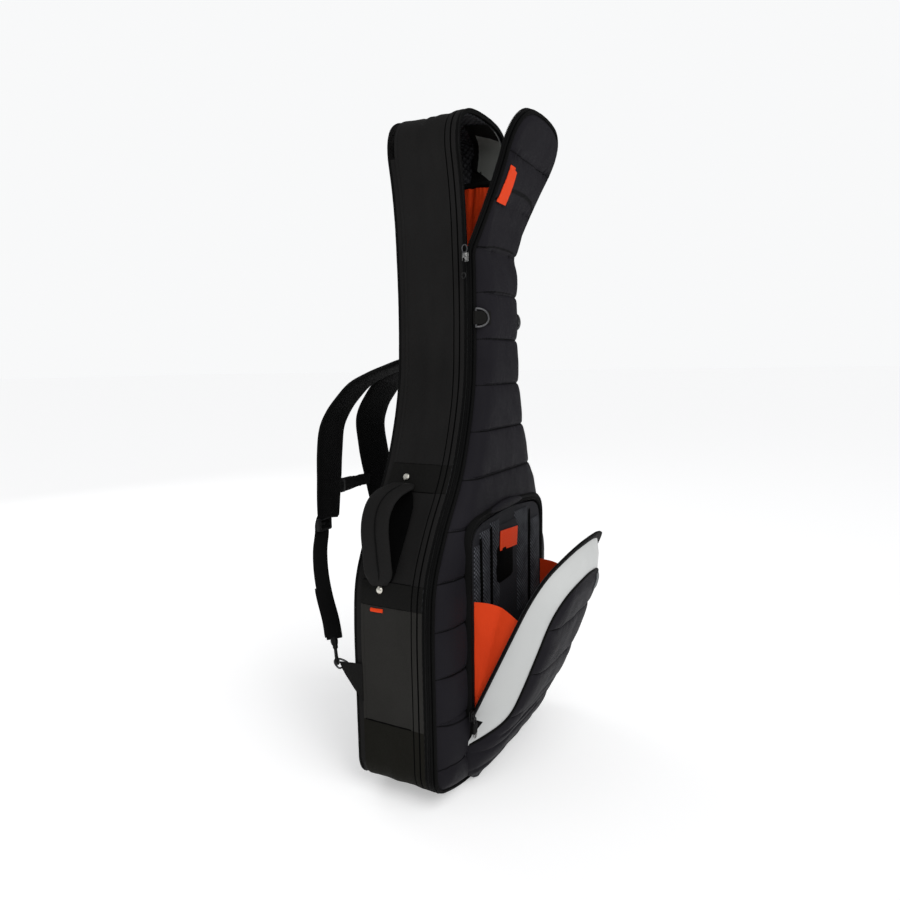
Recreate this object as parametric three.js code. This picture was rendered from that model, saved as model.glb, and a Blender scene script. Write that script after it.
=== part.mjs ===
// A padded gig bag for an acoustic guitar, standing on its base with the head flap and
// the front pocket open. Millimetres, +Z up, the front towards -Y, and the origin at the
// centre of the flat base.
import * as THREE from 'three';

// ---- Driving dimensions ----
const BACK = 70;              // outer face of the back panel
const ZIP = -61;              // plane where the main zip parts
const EDGE = -70;             // front edge of the lid's gusset
const QUILT = -94;            // front face of the quilted lid
const WALL = 9;               // thickness of the padded walls
const GAP = 0.4;              // space kept between touching pieces
const BASE_HALF = 70;         // half width of the flat base
const PIPING_R = 2.8;

const BOOT_TOP = 134;         // heights of the seams on the side walls
const BAND_LOW = 331;
const HANDLE_LOW = 370;
const HANDLE_TOP = 505;
const BAND_TOP = 548;
const FOLD = 895;             // height where the head flap folds forward

const FLAP_OPEN = 23;         // degrees that the head flap leans out of its closed place
const POCKET_OPEN = 25.8;     // degrees that the pocket's front leans out
const POCKET_Y = -102;        // plane of the pocket's zip when it is closed
const POCKET_Z = 144;         // height of the pocket's sliders and of its fold
const POCKET_HALF = 150;
const POCKET_TOP = 320;       // height of the pocket's crown above its fold

const RING_Z = 791;           // height of the two rings beside the neck

const STRAP_WIDTH = 62;
const STRAP_THICK = 12;

const rad = THREE.MathUtils.degToRad;

// ---- Looks ----
const LOOKS = {
  nylon: { color: 0x17171a, roughness: 0.55 },
  canvas: { color: 0x2b2a2c, roughness: 0.8 },
  webbing: { color: 0x121213, roughness: 0.85 },
  lining: { color: 0x3c3e46, roughness: 0.8 },
  orange: { color: 0xd8481f, roughness: 0.7 },
  coated: { color: 0xc8cbc6, roughness: 0.45 },
  steel: { color: 0x85868a, roughness: 0.3, metalness: 1 },
  plastic: { color: 0x0e0e0f, roughness: 0.5 },
};

function mesh(name, look, geometry) {
  const made = new THREE.Mesh(geometry, new THREE.MeshStandardMaterial(LOOKS[look]));
  made.name = name;
  return made;
}

// ---- Closed solids from runs of points ----
function signedVolume(points, faces) {
  let sum = 0;
  for (const [a, b, c] of faces) {
    sum += points[a].dot(new THREE.Vector3().crossVectors(points[b], points[c]));
  }
  return sum / 6;
}

function solid(points, faces) {
  const outward = signedVolume(points, faces) > 0;
  const turned = outward ? faces : faces.map(([a, b, c]) => [a, c, b]);
  const geometry = new THREE.BufferGeometry().setFromPoints(points);
  geometry.setIndex(turned.flat());
  geometry.computeVertexNormals();
  return geometry;
}

// A body whose section's corners each follow their own run; all runs have as many points.
function sweep(runs, closed = false) {
  const points = runs.flat();
  const count = runs[0].length;
  const corners = runs.length;
  const faces = [];
  const steps = closed ? count : count - 1;
  for (let k = 0; k < corners; k += 1) {
    const here = k * count;
    const next = ((k + 1) % corners) * count;
    for (let i = 0; i < steps; i += 1) {
      const j = (i + 1) % count;
      faces.push([here + i, next + i, here + j], [next + i, next + j, here + j]);
    }
  }
  if (!closed) {
    for (let k = 1; k < corners - 1; k += 1) {
      faces.push([0, (k + 1) * count, k * count]);
      faces.push([count - 1, (k + 1) * count - 1, (k + 2) * count - 1]);
    }
  }
  return solid(points, faces);
}

// The triangles that fill a closed loop, wound the way the loop runs.
function fill(loop, flat) {
  const outline = loop.map((p) => new THREE.Vector2(...flat(p)));
  const runs = THREE.ShapeUtils.area(outline) > 0;
  return THREE.ShapeUtils.triangulateShape(outline, []).map(([a, b, c]) => {
    const same = THREE.ShapeUtils.area([outline[a], outline[b], outline[c]]) > 0 === runs;
    return same ? [a, b, c] : [a, c, b];
  });
}

// A plate built of closed loops, one behind the other, with a flat face at each end.
function plate(loops, flat = (p) => [p.x, p.z]) {
  const count = loops[0].length;
  const faces = [];
  for (let k = 0; k < loops.length - 1; k += 1) {
    for (let i = 0; i < count; i += 1) {
      const j = (i + 1) % count;
      const here = k * count;
      faces.push([here + i, here + count + i, here + j]);
      faces.push([here + count + i, here + count + j, here + j]);
    }
  }
  const start = (loops.length - 1) * count;
  faces.push(...fill(loops[0], flat));
  for (const [a, b, c] of fill(loops.at(-1), flat)) {
    faces.push([start + a, start + c, start + b]);
  }
  return solid(loops.flat(), faces);
}

// ---- The bag's outline ----
const SIDE = new THREE.SplineCurve([
  [232, 60], [233, 180], [233, 300], [223, 376], [185, 452], [134, 528], [102, 604],
  [82, 680], [76, 756], [75, 832], [77, 900], [80, 955], [87, 1010], [97, 1058],
].map(([x, z]) => new THREE.Vector2(x, z)));

function halfWidth(z) {
  let low = 0;
  let high = 1;
  for (let i = 0; i < 30; i += 1) {
    const middle = (low + high) / 2;
    if (SIDE.getPoint(middle).y < z) {
      low = middle;
    } else {
      high = middle;
    }
  }
  return SIDE.getPoint(low).x;
}

const LEVELS = [BOOT_TOP, 232, BAND_LOW, HANDLE_LOW, 415, 460, HANDLE_TOP, BAND_TOP,
  604, 680, 756, 832, FOLD, 930, 965, 1000, 1030, 1058];

function rightHalf() {
  const belly = new THREE.QuadraticBezierCurve(new THREE.Vector2(BASE_HALF, 0),
    new THREE.Vector2(139, 0), new THREE.Vector2(208, 25));
  const corner = new THREE.QuadraticBezierCurve(new THREE.Vector2(208, 25),
    new THREE.Vector2(229, 33), new THREE.Vector2(232, 60));
  const shoulder = new THREE.QuadraticBezierCurve(new THREE.Vector2(97, 1058),
    new THREE.Vector2(106, 1122), new THREE.Vector2(46, 1131));
  return [
    new THREE.Vector2(0, 0),
    ...belly.getPoints(4),
    ...corner.getPoints(4).slice(1),
    ...LEVELS.map((z) => new THREE.Vector2(halfWidth(z), z)),
    ...shoulder.getPoints(5).slice(1),
    new THREE.Vector2(0, 1134),
  ];
}

const OUTLINE = rightHalf();

function inset(depth) {
  const last = OUTLINE.length - 1;
  return OUTLINE.map((point, i) => {
    const before = i > 0 ? OUTLINE[i - 1] : new THREE.Vector2(-OUTLINE[1].x, OUTLINE[1].y);
    const after = i < last ? OUTLINE[i + 1]
      : new THREE.Vector2(-OUTLINE[last - 1].x, OUTLINE[last - 1].y);
    const along = after.clone().sub(before).normalize();
    return new THREE.Vector2(point.x - along.y * depth, point.y + along.x * depth);
  });
}

function level(z) {
  return OUTLINE.findIndex((point) => Math.abs(point.y - z) < 0.01 && point.x > 0);
}

const mirrored = (points) => points.map((p) => new THREE.Vector2(-p.x, p.y));

// Runs along the outline: round the bottom, over the head, up one side, or all the way.
function cup(depth, top, trim = GAP / 2) {
  const half = inset(depth).slice(0, level(top) + 1);
  half.at(-1).y = top - trim;
  return [...mirrored(half).reverse(), ...half.slice(1)];
}

function arch(depth, bottom, trim = GAP / 2) {
  const half = inset(depth).slice(level(bottom));
  half[0].y = bottom + trim;
  return [...half, ...mirrored(half).reverse().slice(1)];
}

function flank(depth, bottom, top, side) {
  const half = inset(depth).slice(level(bottom), level(top) + 1);
  half[0].y = bottom + GAP / 2;
  half.at(-1).y = top - GAP / 2;
  return half.map((p) => new THREE.Vector2(side * p.x, p.y));
}

function ring(depth) {
  const half = inset(depth);
  return [...half, ...mirrored(half.slice(1, -1)).reverse()];
}

const at = (run, y) => run.map((p) => new THREE.Vector3(p.x, y, p.y));

function wall(run, front, back, outer = 0, inner = WALL) {
  return sweep([at(run(outer), front), at(run(inner), front),
    at(run(inner), back), at(run(outer), back)]);
}

// ---- Shell ----
const WALL_FRONT = -55;       // the padded walls run from behind the zip tape
const WALL_BACK = 60.6;

function backPanel() {
  return plate([at(ring(0.2), BACK - 9), at(ring(0), BACK - 6), at(ring(2), BACK)]);
}

function piping(y, closed, run) {
  const sides = 6;
  const runs = [];
  for (let k = 0; k < sides; k += 1) {
    const turn = (2 * Math.PI * k) / sides;
    runs.push(at(run(PIPING_R + 0.1 - PIPING_R * Math.cos(turn)), y + PIPING_R * Math.sin(turn)));
  }
  return sweep(runs, closed);
}

function zipTape() {
  return sweep([at(ring(0), ZIP + 0.3), at(ring(5), ZIP + 0.3), at(ring(5), WALL_FRONT - GAP),
    at(ring(0), WALL_FRONT - GAP)], true);
}

function shellWalls() {
  const made = [
    mesh('boot', 'canvas', wall((d) => cup(d, BOOT_TOP), WALL_FRONT, WALL_BACK)),
    mesh('neck_wall', 'nylon', wall((d) => arch(d, BAND_TOP), WALL_FRONT, WALL_BACK)),
  ];
  for (const [side, word] of [[-1, 'left'], [1, 'right']]) {
    const up = (low, top) => (d) => flank(d, low, top, side);
    made.push(
      mesh(`lower_wall_${word}`, 'canvas', wall(up(BOOT_TOP, BAND_LOW), WALL_FRONT, WALL_BACK)),
    );
  }
  const left = (low, top) => (d) => flank(d, low, top, -1);
  made.push(
    mesh('lower_band', 'webbing', wall(left(BAND_LOW, HANDLE_LOW), WALL_FRONT, WALL_BACK, -1.5)),
    mesh('handle_wall_left', 'canvas', wall(left(HANDLE_LOW, HANDLE_TOP), WALL_FRONT, WALL_BACK)),
    mesh('upper_band', 'webbing', wall(left(HANDLE_TOP, BAND_TOP), WALL_FRONT, WALL_BACK, -1.5)),
    mesh('handle_wall_right', 'canvas',
      wall((d) => flank(d, BAND_LOW, BAND_TOP, 1), WALL_FRONT, WALL_BACK)),
  );
  return made;
}

function domeRivet() {
  const profile = [[0, -1], [5.5, -1], [6, 0.5], [4.5, 2.4], [0, 3.2]];
  return new THREE.LatheGeometry(profile.map(([x, y]) => new THREE.Vector2(x, y)), 12);
}

function rivet(name, y, z) {
  const made = mesh(name, 'steel', domeRivet());
  const slope = (halfWidth(z + 5) - halfWidth(z - 5)) / 10;
  const out = new THREE.Vector3(-1, 0, -slope).normalize();
  made.quaternion.setFromUnitVectors(new THREE.Vector3(0, 1, 0), out);
  made.position.set(-halfWidth(z), y, z).addScaledVector(out, 3.4);
  return made;
}

function block(name, look, size, position) {
  const made = mesh(name, look, new THREE.BoxGeometry(...size));
  made.position.set(...position);
  return made;
}

// A padded rest on the inside of the back, hollowed to take the guitar's neck.
function neckCradle() {
  const rest = new THREE.Shape();
  rest.moveTo(-46, 52);
  rest.lineTo(46, 52);
  rest.lineTo(46, 12);
  rest.lineTo(34, 6);
  rest.quadraticCurveTo(0, 46, -34, 6);
  rest.lineTo(-46, 12);
  rest.closePath();
  const geometry = new THREE.ExtrudeGeometry(rest, { depth: 44, bevelEnabled: false,
    curveSegments: 8 });
  geometry.translate(0, 0, 800);
  return geometry;
}

function backLining() {
  return plate([at(ring(WALL + 1), BACK - 17), at(ring(WALL + 0.6), BACK - 9.4)]);
}

function rearTab(side) {
  const edge = side * 232;
  const corners = [[60, 170], [68.5, 166], [100, 207], [100, 219], [68.5, 226], [60, 222]];
  const run = (x) => corners.map(([y, z]) => new THREE.Vector3(x, y, z));
  return plate([run(edge + side * 1.5), run(edge + side * 4)], (p) => [p.y, p.z]);
}

// A wire ring with one straight leg, in the plane of two unit vectors.
function ringOfWire(centre, legWay, outWay, half, reach, wire) {
  const path = [];
  for (let i = 0; i <= 2; i += 1) {
    path.push(centre.clone().addScaledVector(legWay, half - i * half));
  }
  for (let i = 1; i < 8; i += 1) {
    const turn = Math.PI * (i / 8);
    path.push(centre.clone().addScaledVector(legWay, -half * Math.cos(turn))
      .addScaledVector(outWay, reach * Math.sin(turn)));
  }
  const normal = new THREE.Vector3().crossVectors(legWay, outWay).normalize();
  const count = path.length;
  const sides = 6;
  const runs = [];
  for (let k = 0; k < sides; k += 1) {
    const turn = (2 * Math.PI * k) / sides;
    runs.push(path.map((point, i) => {
      const along = path[(i + 1) % count].clone().sub(path[(i + count - 1) % count]).normalize();
      const across = new THREE.Vector3().crossVectors(along, normal);
      return point.clone().addScaledVector(across, wire * Math.cos(turn))
        .addScaledVector(normal, wire * Math.sin(turn));
    }));
  }
  return sweep(runs, true);
}

function shell() {
  const group = new THREE.Group();
  group.add(
    mesh('back_panel', 'nylon', backPanel()),
    ...shellWalls(),
    mesh('back_piping', 'webbing', piping(BACK + PIPING_R + GAP, true, ring)),
    mesh('zip_tape', 'webbing', zipTape()),
    mesh('back_lining', 'lining', backLining()),
    rivet('rivet_top', 27, 526),
    rivet('rivet_bottom', 24, 357),
    mesh('neck_cradle', 'lining', neckCradle()),
    mesh('head_sleeve', 'orange',
      wall((d) => flank(d, 930, 1030, 1), -40, 42, WALL + 1.4, WALL + 5)),
    block('yoke', 'webbing', [128, 6, 100], [0, BACK + 3.6, 700]),
    block('back_pad', 'nylon', [300, 12, 270], [0, BACK + 6.6, 255]),
    mesh('rear_tab_left', 'webbing', rearTab(-1)),
    mesh('rear_tab_right', 'webbing', rearTab(1)),
  );
  return group;
}

// A hook-and-loop strap that crosses in front of the cradle and swings from its left end.
function neckStrap() {
  return block('neck_strap', 'webbing', [92, 3, 30], [0, 2.5, 822]);
}

function rearRing(side) {
  const centre = new THREE.Vector3(side * 226, 103.5, 213);
  return ringOfWire(centre, new THREE.Vector3(1, 0, 0),
    new THREE.Vector3(0, 0.9, 0.44).normalize(), 13, 20, 2);
}

// ---- Side handle: a padded grip that arches between the two bands ----
function sideHandle() {
  const line = new THREE.CatmullRomCurve3([
    [-152, 26, 514], [-170, 30, 513], [-190, 36, 508], [-209, 42, 495], [-222, 44, 474],
    [-230, 42, 450], [-235, 36, 425], [-237, 30, 400], [-235, 26, 383], [-233.5, 25, 370],
  ].map((p) => new THREE.Vector3(...p)));
  const steps = 16;
  const runs = [[], [], [], [], [], []];
  for (let i = 0; i <= steps; i += 1) {
    const point = line.getPoint(i / steps);
    const along = line.getTangent(i / steps);
    const deep = new THREE.Vector3(0, 1, 0);
    const out = new THREE.Vector3().crossVectors(along, deep).normalize();
    const full = Math.sin(Math.PI * (0.15 + 0.7 * (i / steps)));
    const section = [[17, 0], [11, 7], [-11, 7], [-17, 0], [-11, -7], [11, -7]];
    section.forEach(([wide, thick], k) => {
      runs[k].push(point.clone().addScaledVector(deep, wide)
        .addScaledVector(out, thick * full * (i === 0 || i === steps ? 0.6 : 1)));
    });
  }
  return mesh('side_handle', 'webbing', sweep(runs));
}

// ---- Zip sliders ----
function slider(name, look, size, position) {
  return block(name, look, size, position);
}

function mainSliders() {
  const made = [];
  for (const [side, word] of [[-1, 'left'], [1, 'right']]) {
    const x = side * (halfWidth(FOLD) + 4);
    made.push(slider(`zip_slider_${word}`, 'steel', [6, 12, 18], [x, ZIP, FOLD - 4]));
    made.push(slider(`zip_pull_${word}`, 'steel', [2.4, 8, 34],
      [x + side * 6.5, ZIP, FOLD - 24]));
  }
  return made;
}

// ---- Lid: the quilted front, hinged along the bottom edge ----
function paddedPlate(run) {
  return plate([at(run(7), EDGE - 2), at(run(9), -84), at(run(15), -90), at(run(26), QUILT)]);
}

// The zip's arch on the pocket: straight sides, round corners and a slightly bowed crown.
function pocketArch(edge, low) {
  const half = POCKET_HALF - edge;
  const top = POCKET_TOP - edge;
  const turn = new THREE.QuadraticBezierCurve(new THREE.Vector2(half, top - 52),
    new THREE.Vector2(half, top - 13), new THREE.Vector2(half - 42, top - 8));
  const right = [new THREE.Vector2(half, low), new THREE.Vector2(half, (low + top - 52) / 2)];
  right.push(...turn.getPoints(4));
  right.push(new THREE.Vector2((half - 42) / 2, top - 2), new THREE.Vector2(0, top));
  return [...right, ...mirrored(right).reverse().slice(1)];
}

const onLid = (run, y) => run.map((p) => new THREE.Vector3(p.x, y, p.y + POCKET_Z));
const inFlap = (run, h) => run.map((p) => new THREE.Vector3(p.x, -h, p.y));

// The pocket's pouch below its fold: a front that slopes to the bottom edge, and two cheeks.
function pouch() {
  const side = [[-94.5, 9], [-120, 52], [-143, 92], [-153, 116], [-104, 140], [-94.5, 141]];
  const hollow = [[-94.5, 24], [-117, 62], [-137, 96], [-146, 119.4], [-104, 139.7]];
  const run = (x, corners) => corners.map(([y, z]) => new THREE.Vector3(x, y, z));
  const flat = (p) => [p.y, p.z];
  return {
    cheek: (sideways) => plate([run(sideways * 145.5, side), run(sideways * 149.5, side)], flat),
    front: plate([
      run(-145, [side[0], side[1], side[2], side[3], hollow[3], hollow[2], hollow[1], hollow[0]]),
      run(145, [side[0], side[1], side[2], side[3], hollow[3], hollow[2], hollow[1], hollow[0]]),
    ], flat),
  };
}

// The cloth web that stops the pocket from falling open, on each side.
function pocketGusset(side) {
  const lean = rad(POCKET_OPEN);
  const far = (s) => [POCKET_Y - s * Math.sin(lean) + 2, POCKET_Z + s * Math.cos(lean) + 2];
  const corners = [[-103, 152], [-103, 328], [-148, 324], far(182), far(12)];
  const run = (x) => corners.map(([y, z]) => new THREE.Vector3(x, y, z));
  return plate([run(side * 147), run(side * 148.5)], (p) => [p.y, p.z]);
}

function neckRing(side) {
  const out = side < 0 ? new THREE.Vector3(0.66, -0.75, 0) : new THREE.Vector3(0.98, -0.14, 0);
  const centre = new THREE.Vector3(side * 78, -78, RING_Z);
  return ringOfWire(centre, new THREE.Vector3(0, 0, 1), out.normalize(), 15, 23, 1.8);
}

function lid() {
  const group = new THREE.Group();
  const hollow = pouch();
  group.add(
    mesh('lid_panel', 'nylon', paddedPlate((d) => cup(d, FOLD, 0.6))),
    mesh('lid_gusset', 'webbing', wall((d) => cup(d, FOLD, 0.6), EDGE, ZIP - 0.3, 0, 6)),
    mesh('lid_piping', 'webbing',
      piping(EDGE - PIPING_R - GAP, false, (d) => cup(d, FOLD, 0.6))),
    block('ring_tab_left', 'webbing', [7, 3, 22], [-75.5, -83.5, RING_Z]),
    block('ring_tab_right', 'webbing', [7, 3, 22], [75.5, -83.5, RING_Z]),
    mesh('pocket_organizer', 'lining',
      plate([onLid(pocketArch(6, -2), QUILT - 4.5), onLid(pocketArch(6, -2), QUILT - GAP)])),
    mesh('pocket_track', 'webbing', sweep([
      onLid(pocketArch(0, 0), POCKET_Y + 1), onLid(pocketArch(-10, 0), POCKET_Y + 4),
      onLid(pocketArch(-10, 0), QUILT - GAP), onLid(pocketArch(0, 0), QUILT - GAP)])),
    mesh('pouch_front', 'nylon', hollow.front),
    mesh('pouch_cheek_left', 'nylon', hollow.cheek(-1)),
    mesh('pouch_cheek_right', 'nylon', hollow.cheek(1)),
    mesh('pocket_gusset_left', 'orange', pocketGusset(-1)),
    mesh('pocket_gusset_right', 'orange', pocketGusset(1)),
  );
  return group;
}

function neckRings() {
  return [mesh('neck_ring_left', 'steel', neckRing(-1)),
    mesh('neck_ring_right', 'steel', neckRing(1))];
}

// ---- Head flap: the lid's top, folded forward about its front face ----
function headFlap() {
  const hinge = new THREE.Group();
  hinge.position.set(0, QUILT, FOLD);
  hinge.rotation.x = rad(FLAP_OPEN);
  const parts = [
    mesh('head_panel', 'nylon', paddedPlate((d) => arch(d, FOLD, 0.6))),
    mesh('head_gusset', 'webbing', wall((d) => arch(d, FOLD, 0.6), EDGE, ZIP - 0.3, 0, 6)),
    mesh('head_piping', 'webbing',
      piping(EDGE - PIPING_R - GAP, false, (d) => arch(d, FOLD, 0.6))),
  ];
  for (const part of parts) {
    part.position.set(0, -QUILT, -FOLD);
    hinge.add(part);
  }
  return hinge;
}

// ---- Pocket front: a coated sloping border round a domed panel ----
function pocketFlap() {
  const hinge = new THREE.Group();
  hinge.position.set(0, POCKET_Y, POCKET_Z);
  hinge.rotation.x = rad(POCKET_OPEN);
  const border = sweep([inFlap(pocketArch(0, 6), 0), inFlap(pocketArch(-1, 6), 4),
    inFlap(pocketArch(43, 6), 42), inFlap(pocketArch(46, 6), 37)]);
  const front = plate([inFlap(pocketArch(50, 6), 34), inFlap(pocketArch(46.5, 6), 38),
    inFlap(pocketArch(58, 6), 48), inFlap(pocketArch(84, 6), 57)]);
  const tape = sweep([inFlap(pocketArch(-1.5, 8), 1), inFlap(pocketArch(-8, 8), 1),
    inFlap(pocketArch(-8, 8), 3.5), inFlap(pocketArch(-1.5, 8), 3.5)]);
  hinge.add(
    mesh('pocket_border', 'coated', border),
    mesh('pocket_front', 'nylon', front),
    mesh('pocket_tape', 'webbing', tape),
  );
  return hinge;
}

function pocketSliders() {
  const x = -(POCKET_HALF + 14);
  return [
    slider('pocket_slider', 'plastic', [9, 6, 16], [x, POCKET_Y - 3, POCKET_Z]),
    slider('pocket_pull', 'plastic', [8, 4, 30], [x, POCKET_Y - 8.5, POCKET_Z - 16]),
  ];
}

// ---- Shoulder straps, worn on the back and clipped to the rear rings ----
function strapBody(route, width, thick) {
  const line = new THREE.CatmullRomCurve3(route.map((p) => new THREE.Vector3(...p)));
  const steps = route.length * 2;
  const runs = [[], [], [], []];
  for (let i = 0; i <= steps; i += 1) {
    const point = line.getPoint(i / steps);
    const along = line.getTangent(i / steps);
    const wide = new THREE.Vector3(1, 0, 0).addScaledVector(along, -along.x).normalize();
    const out = new THREE.Vector3().crossVectors(along, wide);
    [[1, 1], [-1, 1], [-1, -1], [1, -1]].forEach(([w, t], k) => {
      runs[k].push(point.clone().addScaledVector(wide, (w * width) / 2)
        .addScaledVector(out, (t * thick) / 2));
    });
  }
  return sweep(runs);
}

const mirrorRoute = (route, side) => route.map(([x, y, z]) => [side * x, y, z]);

// A snap hook whose mouth faces the bag, so that the ring's far side stands in it.
function snapHook(side) {
  const path = [[205, 138, 237.5], [212, 134, 234.5], [219, 129, 231.5]];
  for (let i = 0; i <= 9; i += 1) {
    const turn = rad(84 - i * 26);
    path.push([226, 123.5 + 7 * Math.cos(turn), 221.5 + 7.5 * Math.sin(turn)]);
  }
  const line = new THREE.CatmullRomCurve3(mirrorRoute(path, side)
    .map((p) => new THREE.Vector3(...p)));
  const section = new THREE.Shape();
  section.absarc(0, 0, 1.8, 0, 2 * Math.PI);
  return new THREE.ExtrudeGeometry(section, { steps: 20, extrudePath: line, curveSegments: 3,
    bevelEnabled: false });
}

function harness() {
  const group = new THREE.Group();
  const padded = [[36, 85, 720], [39, 112, 711], [43, 145, 699], [48, 179, 682], [53, 205, 657],
    [58, 226, 629], [64, 238, 598], [72, 239, 553], [80, 236, 507], [90, 233, 440]];
  const web = [[103, 239, 403], [113, 238, 370], [127, 226, 333], [145, 204, 297],
    [167, 174, 263], [193, 147, 243]];
  for (const [side, word] of [[-1, 'left'], [1, 'right']]) {
    group.add(
      mesh(`shoulder_strap_${word}`, 'webbing',
        strapBody(mirrorRoute(padded, side), STRAP_WIDTH, STRAP_THICK)),
      mesh(`strap_webbing_${word}`, 'webbing', strapBody(mirrorRoute(web, side), 30, 3)),
      block(`ladder_lock_${word}`, 'plastic', [40, 10, 20], [side * 98, 237, 419]),
    );
  }
  group.add(
    block('sternum_strap', 'webbing', [97, 3, 20], [0, 235, 484]),
    block('sternum_buckle', 'plastic', [56, 10, 28], [0, 242.2, 484]),
  );
  return group;
}

function hooks() {
  return [mesh('snap_hook_left', 'steel', snapHook(-1)),
    mesh('snap_hook_right', 'steel', snapHook(1))];
}

// ---- Assembly ----
const bag = new THREE.Group();
bag.add(
  shell(),
  neckStrap(),
  mesh('rear_ring_left', 'steel', rearRing(-1)),
  mesh('rear_ring_right', 'steel', rearRing(1)),
  sideHandle(),
  ...mainSliders(),
  lid(),
  ...neckRings(),
  headFlap(),
  pocketFlap(),
  ...pocketSliders(),
  harness(),
  ...hooks(),
);

export default bag;
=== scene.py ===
import math

import bmesh
import bpy
import numpy as np
from mathutils import Matrix, Vector, noise
from mathutils.kdtree import KDTree


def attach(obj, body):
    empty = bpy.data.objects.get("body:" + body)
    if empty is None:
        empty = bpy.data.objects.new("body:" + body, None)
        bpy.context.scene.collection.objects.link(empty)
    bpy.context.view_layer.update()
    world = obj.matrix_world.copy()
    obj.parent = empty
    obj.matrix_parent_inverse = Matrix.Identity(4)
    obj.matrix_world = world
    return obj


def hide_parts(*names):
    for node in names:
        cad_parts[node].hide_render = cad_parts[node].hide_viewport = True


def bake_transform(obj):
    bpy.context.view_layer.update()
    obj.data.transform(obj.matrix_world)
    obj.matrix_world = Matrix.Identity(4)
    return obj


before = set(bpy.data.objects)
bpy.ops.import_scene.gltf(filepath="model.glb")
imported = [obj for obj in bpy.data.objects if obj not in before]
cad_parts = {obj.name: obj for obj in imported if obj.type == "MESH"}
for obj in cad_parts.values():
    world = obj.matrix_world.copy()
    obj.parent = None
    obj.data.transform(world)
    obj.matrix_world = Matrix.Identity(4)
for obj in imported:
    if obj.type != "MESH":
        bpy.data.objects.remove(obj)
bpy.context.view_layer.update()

# ---- The room ----
# A pale floor, a plain pale surround and three soft studio lights. The camera stands to the
# left of the bag's front, a little above its middle.
EYE = Vector((-1.151, -0.610, 0.713))
LOOK = Vector((0.8720, 0.4752, -0.1173)).normalized()
SIDEWAYS = Vector((0.4768, -0.8789, -0.0157)).normalized()
lens = bpy.data.cameras.new("camera")
lens.sensor_width = 36
lens.lens = 28.58
camera = bpy.data.objects.new("camera", lens)
bpy.context.collection.objects.link(camera)
upward = SIDEWAYS.cross(LOOK).normalized()
camera.matrix_world = Matrix((
    (SIDEWAYS.x, upward.x, -LOOK.x, EYE.x),
    (SIDEWAYS.y, upward.y, -LOOK.y, EYE.y),
    (SIDEWAYS.z, upward.z, -LOOK.z, EYE.z),
    (0, 0, 0, 1),
))
bpy.context.scene.camera = camera
bpy.context.scene.view_settings.view_transform = "Standard"


def soft_light(name, place, aim, size, watts):
    lamp = bpy.data.lights.new(name, "AREA")
    lamp.shape = "DISK"
    lamp.size = size
    lamp.energy = watts
    holder = bpy.data.objects.new(name, lamp)
    holder.location = place
    holder.rotation_euler = (Vector(aim) - Vector(place)).to_track_quat("-Z", "Y").to_euler()
    bpy.context.collection.objects.link(holder)


soft_light("key", (-1.9, -2.4, 2.2), (0, 0, 0.55), 1.3, 20)
soft_light("rear", (0.9, 2.8, 1.9), (0, 0, 0.6), 1.8, 17)

sun = bpy.data.lights.new("window", "SUN")
sun.energy = 1.2
sun.angle = math.radians(50)
sun_holder = bpy.data.objects.new("window", sun)
sun_holder.rotation_euler = Vector((0.30, 0.62, -0.95)).to_track_quat("-Z", "Y").to_euler()
bpy.context.collection.objects.link(sun_holder)

world = bpy.data.worlds.new("surround")
world.use_nodes = True
sky = world.node_tree
dim = sky.nodes["Background"]
dim.inputs["Color"].default_value = (0.97, 0.98, 1.0, 1)
dim.inputs["Strength"].default_value = 0.34
plain = sky.nodes.new("ShaderNodeBackground")
plain.inputs["Color"].default_value = (0.96, 0.965, 0.97, 1)
plain.inputs["Strength"].default_value = 0.98
seen = sky.nodes.new("ShaderNodeLightPath")
choose = sky.nodes.new("ShaderNodeMixShader")
sky.links.new(seen.outputs["Is Camera Ray"], choose.inputs["Fac"])
sky.links.new(dim.outputs[0], choose.inputs[1])
sky.links.new(plain.outputs[0], choose.inputs[2])
sky.links.new(choose.outputs[0], sky.nodes["World Output"].inputs["Surface"])
bpy.context.scene.world = world

bpy.ops.mesh.primitive_plane_add(size=160)
floor = bpy.context.object
floor.name = "floor"
floor_paint = bpy.data.materials.new("pale_floor")
floor_paint.use_nodes = True
floor_paint.node_tree.nodes["Principled BSDF"].inputs["Base Color"].default_value = (
    0.86, 0.86, 0.86, 1)
floor_paint.node_tree.nodes["Principled BSDF"].inputs["Emission Color"].default_value = (1, 1, 1, 1)
floor_paint.node_tree.nodes["Principled BSDF"].inputs["Emission Strength"].default_value = 0.4
floor_paint.node_tree.nodes["Principled BSDF"].inputs["Roughness"].default_value = 0.75
floor.data.materials.append(floor_paint)

# ---- The outline ----
# The bag is cut round one outline: a wide lower part, a slim neck and a round head. All sizes
# are in millimetres here and become metres in the meshes.
SIDE = [(232, 60), (233, 180), (233, 300), (223, 376), (185, 452), (134, 528), (102, 604),
        (82, 680), (76, 756), (75, 832), (77, 900), (80, 955), (87, 1010), (97, 1058)]
FOLD = 895
FOLD_Y = -94
FLAP_LEAN = math.radians(24)


def smooth_run(knots, per=8):
    knots = np.array(knots, float)
    held = np.vstack([knots[:1], knots, knots[-1:]])
    t = (np.arange(per) / per)[:, None]
    run = []
    for i in range(len(knots) - 1):
        a, b, c, d = held[i:i + 4]
        m, n = (c - a) / 2, (d - b) / 2
        run.append((2 * b - 2 * c + m + n) * t ** 3 + (3 * c - 3 * b - 2 * m - n) * t ** 2
                   + m * t + b)
    return np.vstack(run + [knots[-1:]])


def bow(a, b, c, count=12):
    t = np.linspace(0, 1, count)[:, None]
    return (1 - t) ** 2 * np.array(a) + 2 * t * (1 - t) * np.array(b) + t * t * np.array(c)


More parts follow.
